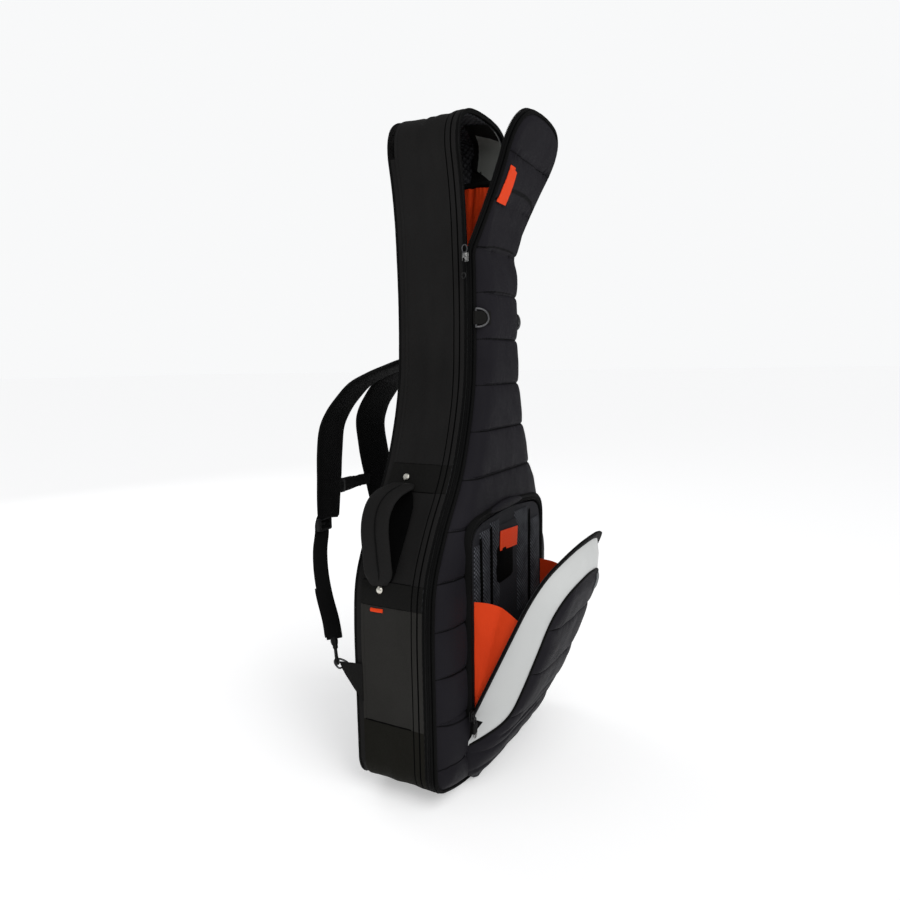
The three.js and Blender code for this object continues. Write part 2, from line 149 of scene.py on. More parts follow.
def lengths(run):
    return np.concatenate([[0], np.cumsum(np.linalg.norm(np.diff(run, axis=0), axis=1))])


def evenly(run, step=None, count=None):
    run = np.array(run, float)
    reach = lengths(run)
    count = count or max(3, int(round(reach[-1] / step)) + 1)
    marks = np.linspace(0, reach[-1], count)
    return np.stack([np.interp(marks, reach, run[:, i]) for i in range(run.shape[1])], 1)


half = np.vstack([
    [(0, 0)], bow((70, 0), (139, 0), (208, 25)), bow((208, 25), (229, 33), (232, 60))[1:],
    smooth_run(SIDE)[1:], bow((97, 1058), (106, 1122), (46, 1131))[1:], [(24, 1133.4), (0, 1134)],
])
outline = np.vstack([half, half[-2::-1] * [-1, 1]])
outline = evenly(outline, step=2)
ROUND = lengths(outline)[-1]
reach_round = lengths(outline)
turned = np.vstack([outline[-2:-1], outline, outline[1:2]])
away = np.stack([turned[2:, 1] - turned[:-2, 1], turned[:-2, 0] - turned[2:, 0]], 1)
away /= np.linalg.norm(away, axis=1)[:, None]


def on_outline(s):
    s = np.mod(s, ROUND)
    where = np.stack([np.interp(s, reach_round, outline[:, i]) for i in (0, 1)], -1)
    out = np.stack([np.interp(s, reach_round, away[:, i]) for i in (0, 1)], -1)
    return where, out / np.linalg.norm(out, axis=-1, keepdims=True)


def up_to(z):
    right = outline[: len(outline) // 2 + 1]
    return float(np.interp(z, right[8:, 1], reach_round[8:len(right)]))


def lean(points, part=1.0):
    """Folds what lies above the fold line forward, as the open head flap does."""
    points = np.array(points, float)
    turn = np.clip((points[..., 2] - (FOLD - 12)) / 24, 0, 1)
    turn = turn * turn * (3 - 2 * turn) * FLAP_LEAN * part
    y, z = points[..., 1] - FOLD_Y, points[..., 2] - FOLD
    z = np.where(z > 0, z * (1 - 0.05 * part), z)
    bent = points.copy()
    bent[..., 1] = FOLD_Y + y * np.cos(turn) - z * np.sin(turn)
    # the open flap also hangs a little askew, its left edge further forward
    askew = np.clip((points[..., 2] - FOLD) / 150, 0, 1)
    bent[..., 1] -= part * 8.0 * askew * np.clip((80 - points[..., 0]) / 160, 0, 1)
    bent[..., 2] = FOLD + y * np.sin(turn) + z * np.cos(turn)
    return bent


# ---- Side walls ----
# Foam-backed cloth sewn between the zip and the back seam: a coated boot, canvas lower walls,
# two smooth bands for the handle, and the neck wall that runs up over the head. Each is lined.
WALL_FRONT = -55
WALL_BACK = 60.6
WALL = 9


def weave_group():
    """Crossed threads on the piece's own UV map, which is in metres."""
    tree = bpy.data.node_groups.new("weave", "ShaderNodeTree")
    tree.interface.new_socket("Threads", in_out="INPUT", socket_type="NodeSocketFloat")
    tree.interface.new_socket("Height", in_out="OUTPUT", socket_type="NodeSocketFloat")
    n = tree.nodes
    gin, gout = n.new("NodeGroupInput"), n.new("NodeGroupOutput")
    place = n.new("ShaderNodeTexCoord")
    parts = n.new("ShaderNodeSeparateXYZ")
    tree.links.new(place.outputs["UV"], parts.inputs[0])
    waves = []
    for axis in ("X", "Y"):
        scale = n.new("ShaderNodeMath")
        scale.operation = "MULTIPLY"
        tree.links.new(parts.outputs[axis], scale.inputs[0])
        tree.links.new(gin.outputs["Threads"], scale.inputs[1])
        wave = n.new("ShaderNodeMath")
        wave.operation = "SINE"
        tree.links.new(scale.outputs[0], wave.inputs[0])
        waves.append(wave)
    cross = n.new("ShaderNodeMath")
    cross.operation = "MULTIPLY"
    tree.links.new(waves[0].outputs[0], cross.inputs[0])
    tree.links.new(waves[1].outputs[0], cross.inputs[1])
    fit = n.new("ShaderNodeMapRange")
    fit.inputs["From Min"].default_value = -1
    tree.links.new(cross.outputs[0], fit.inputs["Value"])
    tree.links.new(fit.outputs[0], gout.inputs["Height"])
    return tree


def mottle_group():
    """Uneven dye and handling marks: a broad blotch and a fine grain, on object coordinates."""
    tree = bpy.data.node_groups.new("mottle", "ShaderNodeTree")
    tree.interface.new_socket("Blotch Scale", in_out="INPUT", socket_type="NodeSocketFloat")
    tree.interface.new_socket("Grain Scale", in_out="INPUT", socket_type="NodeSocketFloat")
    tree.interface.new_socket("Blotch", in_out="OUTPUT", socket_type="NodeSocketFloat")
    tree.interface.new_socket("Grain", in_out="OUTPUT", socket_type="NodeSocketFloat")
    n = tree.nodes
    gin, gout = n.new("NodeGroupInput"), n.new("NodeGroupOutput")
    place = n.new("ShaderNodeTexCoord")
    for scale, out, detail in (("Blotch Scale", "Blotch", 4), ("Grain Scale", "Grain", 2)):
        cloud = n.new("ShaderNodeTexNoise")
        cloud.inputs["Detail"].default_value = detail
        tree.links.new(place.outputs["Object"], cloud.inputs["Vector"])
        tree.links.new(gin.outputs[scale], cloud.inputs["Scale"])
        fit = n.new("ShaderNodeMapRange")
        fit.inputs["From Min"].default_value = 0.3
        fit.inputs["From Max"].default_value = 0.7
        tree.links.new(cloud.outputs["Fac"], fit.inputs["Value"])
        tree.links.new(fit.outputs[0], gout.inputs[out])
    return tree


weave = weave_group()
mottle = mottle_group()


def cloth(name, dark, light, rough, threads=5200, knit=0.25, grain=0.3, blotch=6, sheen=0.0,
          gloss=0.16, depth=0.0006):
    """A woven or coated cloth: dye mottle, thread relief and uneven shine."""
    made = bpy.data.materials.new(name)
    made.use_nodes = True
    tree, n = made.node_tree, made.node_tree.nodes
    skin = n["Principled BSDF"]
    skin.inputs["Sheen Weight"].default_value = sheen
    skin.inputs["Sheen Roughness"].default_value = 0.45
    skin.inputs["Specular IOR Level"].default_value = gloss
    threadwork = n.new("ShaderNodeGroup")
    threadwork.node_tree = weave
    threadwork.inputs["Threads"].default_value = threads
    dye = n.new("ShaderNodeGroup")
    dye.node_tree = mottle
    dye.inputs["Blotch Scale"].default_value = blotch
    dye.inputs["Grain Scale"].default_value = 420
    tone = n.new("ShaderNodeMix")
    tone.data_type = "RGBA"
    tone.inputs["A"].default_value = (*dark, 1)
    tone.inputs["B"].default_value = (*light, 1)
    mixed = n.new("ShaderNodeMath")
    mixed.operation = "MULTIPLY_ADD"
    mixed.inputs[1].default_value = 0.7
    lift = n.new("ShaderNodeMath")
    lift.operation = "MULTIPLY"
    lift.inputs[1].default_value = 0.3
    tree.links.new(threadwork.outputs["Height"], lift.inputs[0])
    tree.links.new(dye.outputs["Blotch"], mixed.inputs[0])
    tree.links.new(lift.outputs[0], mixed.inputs[2])
    tree.links.new(mixed.outputs[0], tone.inputs["Factor"])
    tree.links.new(tone.outputs["Result"], skin.inputs["Base Color"])
    shine = n.new("ShaderNodeMapRange")
    shine.inputs["To Min"].default_value = rough - 0.07
    shine.inputs["To Max"].default_value = rough + 0.07
    tree.links.new(dye.outputs["Grain"], shine.inputs["Value"])
    tree.links.new(shine.outputs[0], skin.inputs["Roughness"])
    relief = n.new("ShaderNodeMath")
    relief.operation = "MULTIPLY_ADD"
    relief.inputs[1].default_value = knit
    rub = n.new("ShaderNodeMath")
    rub.operation = "MULTIPLY"
    rub.inputs[1].default_value = grain
    tree.links.new(dye.outputs["Grain"], rub.inputs[0])
    tree.links.new(threadwork.outputs["Height"], relief.inputs[0])
    tree.links.new(rub.outputs[0], relief.inputs[2])
    bump = n.new("ShaderNodeBump")
    bump.inputs["Distance"].default_value = depth
    bump.inputs["Strength"].default_value = 0.8
    tree.links.new(relief.outputs[0], bump.inputs["Height"])
    tree.links.new(bump.outputs["Normal"], skin.inputs["Normal"])
    return made


def embossed(name, dark, light, rough, pitch=9.0, blotch=6):
    """The lining: a thin cloth pressed all over with small raised pads, with painted shade darkening the
    hollows between them.
    """
    made = cloth(name, dark, light, rough, threads=6000, knit=0.2, gloss=0.07, blotch=blotch)
    tree, n = made.node_tree, made.node_tree.nodes
    place = n.new("ShaderNodeTexCoord")
    turn = n.new("ShaderNodeMapping")
    turn.inputs["Rotation"].default_value = (0, 0, math.radians(45))
    tree.links.new(place.outputs["UV"], turn.inputs["Vector"])
    pads = n.new("ShaderNodeTexVoronoi")
    pads.inputs["Scale"].default_value = 1000 / pitch
    pads.inputs["Randomness"].default_value = 0.0
    tree.links.new(turn.outputs[0], pads.inputs["Vector"])
    fit = n.new("ShaderNodeMapRange")
    fit.inputs["From Min"].default_value = 0.2
    fit.inputs["From Max"].default_value = 0.55
    fit.inputs["To Min"].default_value = 1
    fit.inputs["To Max"].default_value = 0
    tree.links.new(pads.outputs["Distance"], fit.inputs["Value"])
    press = n.new("ShaderNodeBump")
    press.inputs["Distance"].default_value = 0.0015
    press.inputs["Strength"].default_value = 0.9
    tree.links.new(fit.outputs[0], press.inputs["Height"])
    first = next(node for node in n if node.type == "BUMP" and node is not press)
    tree.links.new(press.outputs["Normal"], first.inputs["Normal"])
    tone = next(node for node in n if node.type == "MIX")
    # painted shade: the hollows between the pads fall to 55 % of the dark tone
    shade = n.new("ShaderNodeMix")
    shade.data_type = "RGBA"
    shade.inputs["A"].default_value = (dark[0] * 0.55, dark[1] * 0.55, dark[2] * 0.55, 1)
    tree.links.new(fit.outputs[0], shade.inputs["Factor"])
    tree.links.new(tone.outputs["Result"], shade.inputs["B"])
    tree.links.new(shade.outputs["Result"], n["Principled BSDF"].inputs["Base Color"])
    return made


NECK_CLOTH = cloth("neck_fabric", (0.0105, 0.0102, 0.0100), (0.0168, 0.0163, 0.0161), 0.6,
                   gloss=0.035)
SIDE_CANVAS = cloth("side_canvas", (0.0200, 0.0193, 0.0177), (0.0292, 0.0283, 0.0262), 0.7,
                    threads=4200, knit=0.35, gloss=0.05)
BOOT_CANVAS = cloth("boot_canvas", (0.0085, 0.0082, 0.0064), (0.0135, 0.0130, 0.0105), 0.6,
                    threads=3600, knit=0.4, gloss=0.025)
BAND_CLOTH = cloth("band_webbing", (0.0062, 0.0061, 0.0057), (0.0100, 0.0098, 0.0092), 0.6,
                   threads=2600, knit=0.6, gloss=0.05)
TAPE = cloth("tape_webbing", (0.0030, 0.0030, 0.0030), (0.0062, 0.0062, 0.0062), 0.65,
             threads=3200, knit=0.7, gloss=0.04)
# near-black cloth for the black trims, also used as painted shade: the sheet behind the side handle and the
# faces in the wall's hem grooves
PITCH = cloth("black_cloth_and_handle_gap_shade", (0.0012, 0.0012, 0.0012), (0.0024, 0.0024, 0.0024), 0.8, gloss=0.02)
LINING = embossed("lining", (0.060, 0.061, 0.066), (0.100, 0.102, 0.110), 0.75)


def wave(x, y=0.0, z=0.0):
    return noise.noise(Vector((x, y, z)))


def sewn(name, rings, materials, faces_of=None, ends=True, loop=False, crease=38,
         seam=True):
    """A closed skin over a row of rings, in millimetres, with a UV map in metres."""
    rings = np.array(rings, float)
    count, around = rings.shape[:2]
    mesh = bpy.data.meshes.new(name)
    spans = count if loop else count - 1
    sides = around if seam else around - 1
    quads, slots, uvs = [], [], []
    along = np.concatenate([[0], np.cumsum(np.linalg.norm(
        np.diff(rings.mean(axis=1), axis=0), axis=1))])
    along = np.append(along, along[-1] + np.linalg.norm(rings[-1].mean(0) - rings[0].mean(0)))
    middle = rings[count // 2]
    across = np.concatenate([[0], np.cumsum(np.linalg.norm(
        np.diff(np.vstack([middle, middle[:1]]), axis=0), axis=1))])
    for i in range(spans):
        k = (i + 1) % count
        for j in range(sides):
            m = (j + 1) % around
            quads.append((i * around + j, k * around + j, k * around + m, i * around + m))
            slots.append(faces_of(i, j) if faces_of else 0)
            uvs.extend([(along[i], across[j]), (along[i + 1], across[j]),
                        (along[i + 1], across[j + 1]), (along[i], across[j + 1])])
    if ends and not loop:
        quads.append(tuple(range(around)))
        quads.append(tuple(range((count - 1) * around, count * around))[::-1])
        slots.extend([0, 0])
        uvs.extend([(p[0], p[1]) for p in rings[0]] + [(p[0], p[1]) for p in rings[-1][::-1]])
    mesh.from_pydata((rings.reshape(-1, 3) / 1000).tolist(), [], quads)
    layer = mesh.uv_layers.new(name="UVMap")
    layer.data.foreach_set("uv", (np.array(uvs) / 1000).ravel())
    for material in materials:
        mesh.materials.append(material)
    mesh.polygons.foreach_set("material_index", slots)
    mesh.polygons.foreach_set("use_smooth", [True] * len(quads))
    tidy = bmesh.new()
    tidy.from_mesh(mesh)
    bmesh.ops.remove_doubles(tidy, verts=tidy.verts, dist=0.00002)
    bmesh.ops.recalc_face_normals(tidy, faces=tidy.faces)
    tidy.to_mesh(mesh)
    tidy.free()
    mesh.set_sharp_from_angle(angle=math.radians(crease))
    piece = bpy.data.objects.new(name, mesh)
    bpy.context.collection.objects.link(piece)
    return piece


HEM = [(-55, 0.4), (-54, 1.4), (-51, 1.7), (-48, 1.6), (-46.6, 0.3), (-45.2, 1.5), (-41, 1.7),
       (-37, 1.5), (-35.6, 0.1), (-34.4, 0.6), (-31, 0.5)]
# the faces in the two stitched hem grooves are painted near-black, as painted shade in the grooves
HEM_GROOVE_SHADE = (3, 4, 7, 8)
REAR = [(50, 0.2), (54, 0.7), (56, 0.0), (58, 1.0), (60.6, 0.8)]


def wall_rings(start, end, sag, crumple, seed, proud=0.0, step=5.0, hem=HEM):
    """Rings of the wall's section, from one height to another round the outline."""
    marks = np.arange(0, 1.0001, 1 / max(2, round((end - start) / step)))
    flat = [(y, 0.0) for y in np.linspace(-27, 46, 16)]
    outer = list(hem) + flat + REAR
    rings = []
    for s in start + marks * (end - start):
        (x, z), (ox, oz) = on_outline(s)
        fade = min(1, (s - start) / 14, (end - s) / 14)
        ring = []
        for y, rise in outer:
            middle = max(0.0, 1 - ((y - 5) / 48) ** 2)
            # folds run mostly along the wall, with a few that cross it aslant
            fold = (wave(y / 21 + seed, s / 150, seed) + 0.6 * wave(y / 11 + s / 60, s / 70, seed + 5)
                    + 0.5 * wave(y / 30 - s / 45, s / 48, seed + 9))
            rise = rise * (1 if proud == 0 else 0.4) + proud
            rise += middle * (sag * max(0, fade) + crumple * fold * (0.35 + 0.65 * max(0, fade)))
            ring.append((x + ox * rise, y, z + oz * rise))
        for y in np.linspace(WALL_BACK, WALL_FRONT, 10):
            rise = -WALL + 0.6 * wave(y / 25, s / 60, seed + 20)
            ring.append((x + ox * rise, y, z + oz * rise))
        rings.append(ring)
    return rings, len(outer)


def wall_piece(name, start, end, material, sag=-1.0, crumple=1.2, seed=0.0, proud=0.0):
    rings, outer = wall_rings(start, end, sag, crumple, seed, proud)
    piece = sewn(name + "_cloth", rings, [material, LINING, PITCH],
                 lambda i, j: 1 if j >= outer else 2 if j in HEM_GROOVE_SHADE else 0)
    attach(piece, "shell")
    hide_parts(name)
    return piece


def tube(name, path, radius, material, loop=False, sides=10):
    path = np.array(path, float)
    if loop:
        run = np.roll(path, -1, 0) - np.roll(path, 1, 0)
    else:
        run = np.gradient(path, axis=0)
    run /= np.linalg.norm(run, axis=1)[:, None]
    side = np.cross(run[0], (0.31, 0.83, 0.47))
    rings = []
    radii = np.broadcast_to(radius, len(path))
    for i in range(len(path)):
        side = side - run[i] * side.dot(run[i])
        side /= np.linalg.norm(side)
        over = np.cross(run[i], side)
        rings.append([path[i] + radii[i] * (side * math.cos(t) + over * math.sin(t))
                      for t in np.arange(sides) * math.tau / sides])
    return sewn(name, rings, [material], loop=loop, crease=50)


BOOT_TOP, BAND_LOW, HANDLE_LOW, HANDLE_TOP, BAND_TOP = 134, 331, 370, 505, 548
lap = 0.25
wall_piece("boot", -up_to(BOOT_TOP), up_to(BOOT_TOP), BOOT_CANVAS,
           sag=-0.5, crumple=1.6, seed=3.1, proud=0.5)
wall_piece("lower_wall_right", up_to(BOOT_TOP) + lap, up_to(BAND_LOW) - lap, SIDE_CANVAS,
           sag=-1.5, crumple=1.4, seed=7.7)
wall_piece("handle_wall_right", up_to(BAND_LOW) + lap, up_to(BAND_TOP) - lap, NECK_CLOTH,
           sag=-1.5, crumple=1.6, seed=12.3)
wall_piece("neck_wall", up_to(BAND_TOP) + lap, ROUND - up_to(BAND_TOP) - lap, NECK_CLOTH,
           sag=-1.0, crumple=2.7, seed=21.9)
wall_piece("upper_band", ROUND - up_to(BAND_TOP) + lap, ROUND - up_to(HANDLE_TOP) - lap,
           BAND_CLOTH, sag=-0.4, crumple=0.5, seed=30.5, proud=1.2)
wall_piece("handle_wall_left", ROUND - up_to(HANDLE_TOP) + lap, ROUND - up_to(HANDLE_LOW) - lap,
           NECK_CLOTH, sag=-2.5, crumple=1.2, seed=41.0)
wall_piece("lower_band", ROUND - up_to(HANDLE_LOW) + lap, ROUND - up_to(BAND_LOW) - lap,
           BAND_CLOTH, sag=-0.4, crumple=0.5, seed=44.4, proud=1.2)
wall_piece("lower_wall_left", ROUND - up_to(BAND_LOW) + lap, ROUND - up_to(BOOT_TOP) - lap,
           SIDE_CANVAS, sag=-2.0, crumple=1.7, seed=52.6)

for level, fat in ((BOOT_TOP, 1.1), (BAND_LOW, 0.8), (HANDLE_LOW, 0.8), (HANDLE_TOP, 0.8),
                   (BAND_TOP, 0.8)):
    for side, word in ((-1, "left"), (1, "right")):
        if side > 0 and level in (HANDLE_LOW, HANDLE_TOP):
            continue
        (wx, wz), (ox, oz) = on_outline(side * up_to(level))
        welt = tube(f"wall_welt_{word}_{level}", [
            (wx + ox * (0.3 + 0.25 * math.sin(y / 3)), y, wz + oz * (0.3 + 0.25 * math.sin(y / 3)))
            for y in np.linspace(-31, 57, 40)], fat, PITCH, sides=8)
        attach(welt, "shell")

# ---- Zip and gusset ----
# A coarse nylon coil zip runs all round. One half is sewn to the walls' tape, the other to the
# strip that joins it to the front, and above the fold the two halves are open.
COIL = 2.6
FOLD_HALF = 14         # the flap's cloth bends over this much to either side of the fold
COIL_END = 17          # the coil stops above the bottom edge, where cloth alone joins the front


def ribbed_rings(profile, marks, folded=False):
    rings = []
    for s in marks:
        (x, z), (ox, oz) = on_outline(s)
        rings.append([(x + ox * rise, y, z + oz * rise) for rise, y in profile])
    rings = np.array(rings)
    return lean(rings) if folded else rings


all_round = np.arange(0, ROUND - 2, 4.0)
tape_profile = [(0.2, -55.3), (1.1, -55.8), (1.4, -57.0), (0.7, -57.7), (1.1, -58.4), (0.9, -60.2),
                (0.2, -60.6), (-5.6, -60.6), (-6.0, -60.2), (-6.0, -55.3)]
zip_tape = sewn("zip_tape_cloth", ribbed_rings(tape_profile, all_round), [TAPE], loop=True)
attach(zip_tape, "shell")
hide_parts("zip_tape")

gusset_profile = [(0.2, -70.0), (1.2, -69.5), (1.6, -68.2), (1.4, -66.9), (0.4, -66.2), (1.2, -65.5),
                  (1.3, -63.4), (0.9, -62.0), (0.2, -61.4), (-5.6, -61.4), (-6.0, -61.8),
                  (-6.0, -69.8)]
front_strip = sewn("front_zip_strip", ribbed_rings(gusset_profile, all_round, folded=True), [TAPE],
                   loop=True)
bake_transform(front_strip)
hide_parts("lid_gusset", "head_gusset")


def beads_tree():
    """Small like shapes set out on marked points, each turned as its point says."""
    tree = bpy.data.node_groups.new("beads", "GeometryNodeTree")
    for label, kind, way in (("Points", "NodeSocketGeometry", "INPUT"),
                             ("Size", "NodeSocketVector", "INPUT"),
                             ("Round", "NodeSocketBool", "INPUT"),
                             ("Finish", "NodeSocketMaterial", "INPUT"),
                             ("Beads", "NodeSocketGeometry", "OUTPUT")):
        tree.interface.new_socket(label, in_out=way, socket_type=kind)
    n = tree.nodes
    gin, gout = n.new("NodeGroupInput"), n.new("NodeGroupOutput")
    points = n.new("GeometryNodeMeshToPoints")
    ball = n.new("GeometryNodeMeshIcoSphere")
    ball.inputs["Radius"].default_value = 0.5
    ball.inputs["Subdivisions"].default_value = 1
    brick = n.new("GeometryNodeMeshCube")
    brick.inputs["Size"].default_value = (1, 1, 1)
    pick = n.new("GeometryNodeSwitch")
    pick.input_type = "GEOMETRY"
    turn = n.new("GeometryNodeInputNamedAttribute")
    turn.data_type = "FLOAT_VECTOR"
    turn.inputs["Name"].default_value = "turn"
    place = n.new("GeometryNodeInstanceOnPoints")
    real = n.new("GeometryNodeRealizeInstances")
    smooth = n.new("GeometryNodeSetShadeSmooth")
    paint = n.new("GeometryNodeSetMaterial")
    euler = n.new("FunctionNodeEulerToRotation")
    link = tree.links.new
    link(gin.outputs["Points"], points.inputs["Mesh"])
    link(gin.outputs["Round"], pick.inputs["Switch"])
    link(brick.outputs["Mesh"], pick.inputs["False"])
    link(ball.outputs["Mesh"], pick.inputs["True"])
    link(points.outputs["Points"], place.inputs["Points"])
    link(pick.outputs["Output"], place.inputs["Instance"])
    link(turn.outputs["Attribute"], euler.inputs[0])
    link(euler.outputs[0], place.inputs["Rotation"])
    link(gin.outputs["Size"], place.inputs["Scale"])
    link(place.outputs["Instances"], real.inputs[0])
    link(real.outputs[0], smooth.inputs["Geometry"])
    link(gin.outputs["Round"], smooth.inputs["Shade Smooth"])
    link(smooth.outputs[0], paint.inputs["Geometry"])
    link(gin.outputs["Finish"], paint.inputs["Material"])
    link(paint.outputs[0], gout.inputs["Beads"])
    return tree


beads = beads_tree()


def set_beads(name, places, ways, outs, size, finish, ball=True):
    """places, the direction of each bead's length and its outward side, in millimetres."""
    turns = []
    for way, out in zip(ways, outs):
        x = Vector(way).normalized()
        z = Vector(out)
        z = (z - x * z.dot(x)).normalized()
        turns.append(Matrix((x, z.cross(x), z)).transposed().to_euler())
    mesh = bpy.data.meshes.new(name)
    mesh.from_pydata((np.array(places) / 1000).tolist(), [], [])
    mesh.attributes.new("turn", "FLOAT_VECTOR", "POINT").data.foreach_set(
        "vector", np.array([tuple(t) for t in turns], float).ravel())
    marks = bpy.data.objects.new(name + "_marks", mesh)
    bpy.context.collection.objects.link(marks)
    maker = marks.modifiers.new("beads", "NODES")
    maker.node_group = beads
    wanted = {"Size": tuple(v / 1000 for v in size), "Round": ball, "Finish": finish}
    for item in beads.interface.items_tree:
        if item.in_out == "INPUT" and item.name in wanted:
            maker[item.identifier] = wanted[item.name]
    done = bpy.data.meshes.new_from_object(
        marks.evaluated_get(bpy.context.evaluated_depsgraph_get()))
    bpy.data.objects.remove(marks)
    done.name = name
    piece = bpy.data.objects.new(name, done)
    bpy.context.collection.objects.link(piece)
    return piece


def moulded(name, dark, light, rough, metal=0.0, scale=300, bump=0.0002, gloss=0.18):
    """Plastic or metal with a faint uneven surface and rubbed high spots."""
    made = bpy.data.materials.new(name)
    made.use_nodes = True
    tree, n = made.node_tree, made.node_tree.nodes
    skin = n["Principled BSDF"]
    skin.inputs["Metallic"].default_value = metal
    skin.inputs["Specular IOR Level"].default_value = gloss
    dye = n.new("ShaderNodeGroup")
    dye.node_tree = mottle
    dye.inputs["Blotch Scale"].default_value = scale / 4
    dye.inputs["Grain Scale"].default_value = scale * 3
    tone = n.new("ShaderNodeMix")
    tone.data_type = "RGBA"
    tone.inputs["A"].default_value = (*dark, 1)
    tone.inputs["B"].default_value = (*light, 1)
    tree.links.new(dye.outputs["Blotch"], tone.inputs["Factor"])
    tree.links.new(tone.outputs["Result"], skin.inputs["Base Color"])
    shine = n.new("ShaderNodeMapRange")
    shine.inputs["To Min"].default_value = rough - 0.06
    shine.inputs["To Max"].default_value = rough + 0.08
    tree.links.new(dye.outputs["Blotch"], shine.inputs["Value"])
    tree.links.new(shine.outputs[0], skin.inputs["Roughness"])
    pit = n.new("ShaderNodeBump")
    pit.inputs["Distance"].default_value = bump
    pit.inputs["Strength"].default_value = 0.6
    tree.links.new(dye.outputs["Grain"], pit.inputs["Height"])
    tree.links.new(pit.outputs["Normal"], skin.inputs["Normal"])
    return made


NYLON_COIL = moulded("zip_coil", (0.005, 0.005, 0.005), (0.012, 0.012, 0.012), 0.5, gloss=0.1)
THREAD = moulded("thread", (0.012, 0.012, 0.013), (0.030, 0.030, 0.032), 0.6)


def coil_half(name, marks, y, shift, folded):
    where, out = on_outline(marks + shift)
    places = np.stack([where[:, 0] + out[:, 0] * 0.9, np.full(len(marks), y),
                       where[:, 1] + out[:, 1] * 0.9], 1)
    ways = np.tile([0.25, 1.0, 0.15], (len(marks), 1))
    outs = np.stack([out[:, 0], np.zeros(len(marks)), out[:, 1]], 1)
    if folded:
        places = lean(places)
    return set_beads(name, places, ways, outs, (1.5, 2.3, 1.5), NYLON_COIL)


teeth = np.arange(0, ROUND, COIL)
teeth = teeth[on_outline(teeth)[0][:, 1] > COIL_END]
shell_coil = coil_half("shell_zip_coil", teeth, -60.6, 0.0, False)
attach(shell_coil, "shell")
low = teeth[on_outline(teeth)[0][:, 1] < FOLD - FOLD_HALF]
high = teeth[on_outline(teeth)[0][:, 1] > FOLD - FOLD_HALF]
lid_coil = coil_half("lid_zip_coil", low, -61.4, COIL / 2, False)
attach(lid_coil, "lid")
flap_coil = coil_half("flap_zip_coil", high, -61.4, COIL / 2, True)
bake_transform(flap_coil)

# ---- Piping ----
# A corded edge in black tape closes the front's seam and the back's seam.
PIPING_R = 2.8


def piping_loop(name, y, folded):
    rings = []
    for s in np.arange(0, ROUND - 2, 5.0):
        (x, z), (ox, oz) = on_outline(s)
        plump = PIPING_R * (1 + 0.05 * wave(s / 9, y))
        ring = []
        for k in range(10):
            turn = k * math.tau / 10
            rise = -PIPING_R + plump * math.cos(turn) + 0.5
            ring.append((x + ox * rise, y + plump * math.sin(turn), z + oz * rise))
        rings.append(ring)
    rings = lean(rings) if folded else np.array(rings)
    return sewn(name, rings, [TAPE], loop=True)


front_piping = piping_loop("front_piping", -73.2, True)
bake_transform(front_piping)
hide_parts("lid_piping", "head_piping")
back_piping = piping_loop("back_piping_cord", 73.2, False)
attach(back_piping, "shell")
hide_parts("back_piping")

# ---- Quilted front ----
# One padded panel of satin nylon from the bottom edge to the top of the head, quilted across in
# straight channels and creased at the fold. Its inside is lined.
SEAMS = [-4, 72, 148, 224, 300, 376, 452, 528, 604, 680, 756, 832, 900, 978, 1056, 1140]
NYLON = cloth("quilt_nylon", (0.0108, 0.0101, 0.0124), (0.0170, 0.0160, 0.0194), 0.5, threads=7000,
              knit=0.15, grain=0.25, gloss=0.022)
# painted shade: this near-black copy of the quilt nylon darkens the faces along each quilting seam, standing
# in for the shade in the seam valleys
CREASE_SHADE = cloth("quilt_crease_shade", (0.0022, 0.0021, 0.0025), (0.0040, 0.0038, 0.0046), 0.6, threads=7000,
               knit=0.15, gloss=0.04)
edge_tree = KDTree(len(outline))
for i, (x, z) in enumerate(outline):
    edge_tree.insert((x, z, 0), i)
edge_tree.balance()


def front_net(across, levels, inset):
    """levels is a count, or the heights at which the net's rows lie."""
    corner, shoulder = up_to(60), up_to(1058)
    if isinstance(levels, int):
        marks = np.linspace(corner, shoulder, levels)
    else:
        marks = np.array([up_to(z) for z in levels])

    def edge(marks):
        where, out = on_outline(marks)
        return where - out * inset
    bottom, top = edge(np.linspace(-corner, corner, across)), edge(
        np.linspace(ROUND - shoulder, shoulder, across))
    left, right = edge(ROUND - marks), edge(marks)
    u = np.linspace(0, 1, across)[None, :, None]
    v = np.linspace(0, 1, len(marks))[:, None, None]
    # the round ends only bend the rows near them, so that the rest lie level
    low, high = (1 - v) ** 18, v ** 12
    sides = (1 - u) * left[:, None] + u * right[:, None]
    return (sides + low * (bottom[None] - ((1 - u) * bottom[0] + u * bottom[-1]))
            + high * (top[None] - ((1 - u) * top[0] + u * top[-1])))


def quilted(net, base, seams, full, puff, seed, edge_of, out=-1, roll=6.5):
    """Gives a net its padded height: a rolled edge, stitched channels, puckers and soft drag."""
    rows, across = net.shape[:2]
    points = np.zeros((rows, across, 3))
    seams = np.array(seams, float)
    for i in range(rows):
        for j in range(across):
            x, z = net[i, j]
            d = edge_of(x, z)
            deep = full(z) if callable(full) else full
            turn = roll(z) if callable(roll) else roll
            height = deep * (1 - math.exp(-max(0, d) / turn))
            inner = min(1, max(0, (d - 0.5) / 10))
            inner = inner * inner * (3 - 2 * inner)
            gap = float(np.abs(seams - z).min())
            channel = 0.55 * (1 - math.exp(-gap / 2.2)) + 0.45 * (1 - math.exp(-gap / 17))
            height += inner * (puff * channel - 0.55 * puff)
            pucker = wave(x / 6.5, z / 16, seed + 3) * math.exp(-gap / 11) * (
                1 + 1.2 * math.exp(-max(0, d) / 18))
            drag = wave(x / 30 + z / 55, z / 26, seed + 6)
            height += inner * (0.8 * pucker + 0.9 * drag) + 0.3 * wave(x / 14, z / 14, seed + 8)
            points[i, j] = (x, base + out * height, z)
    return points


def outline_distance(x, z):
    return edge_tree.find((x, z, 0))[2]


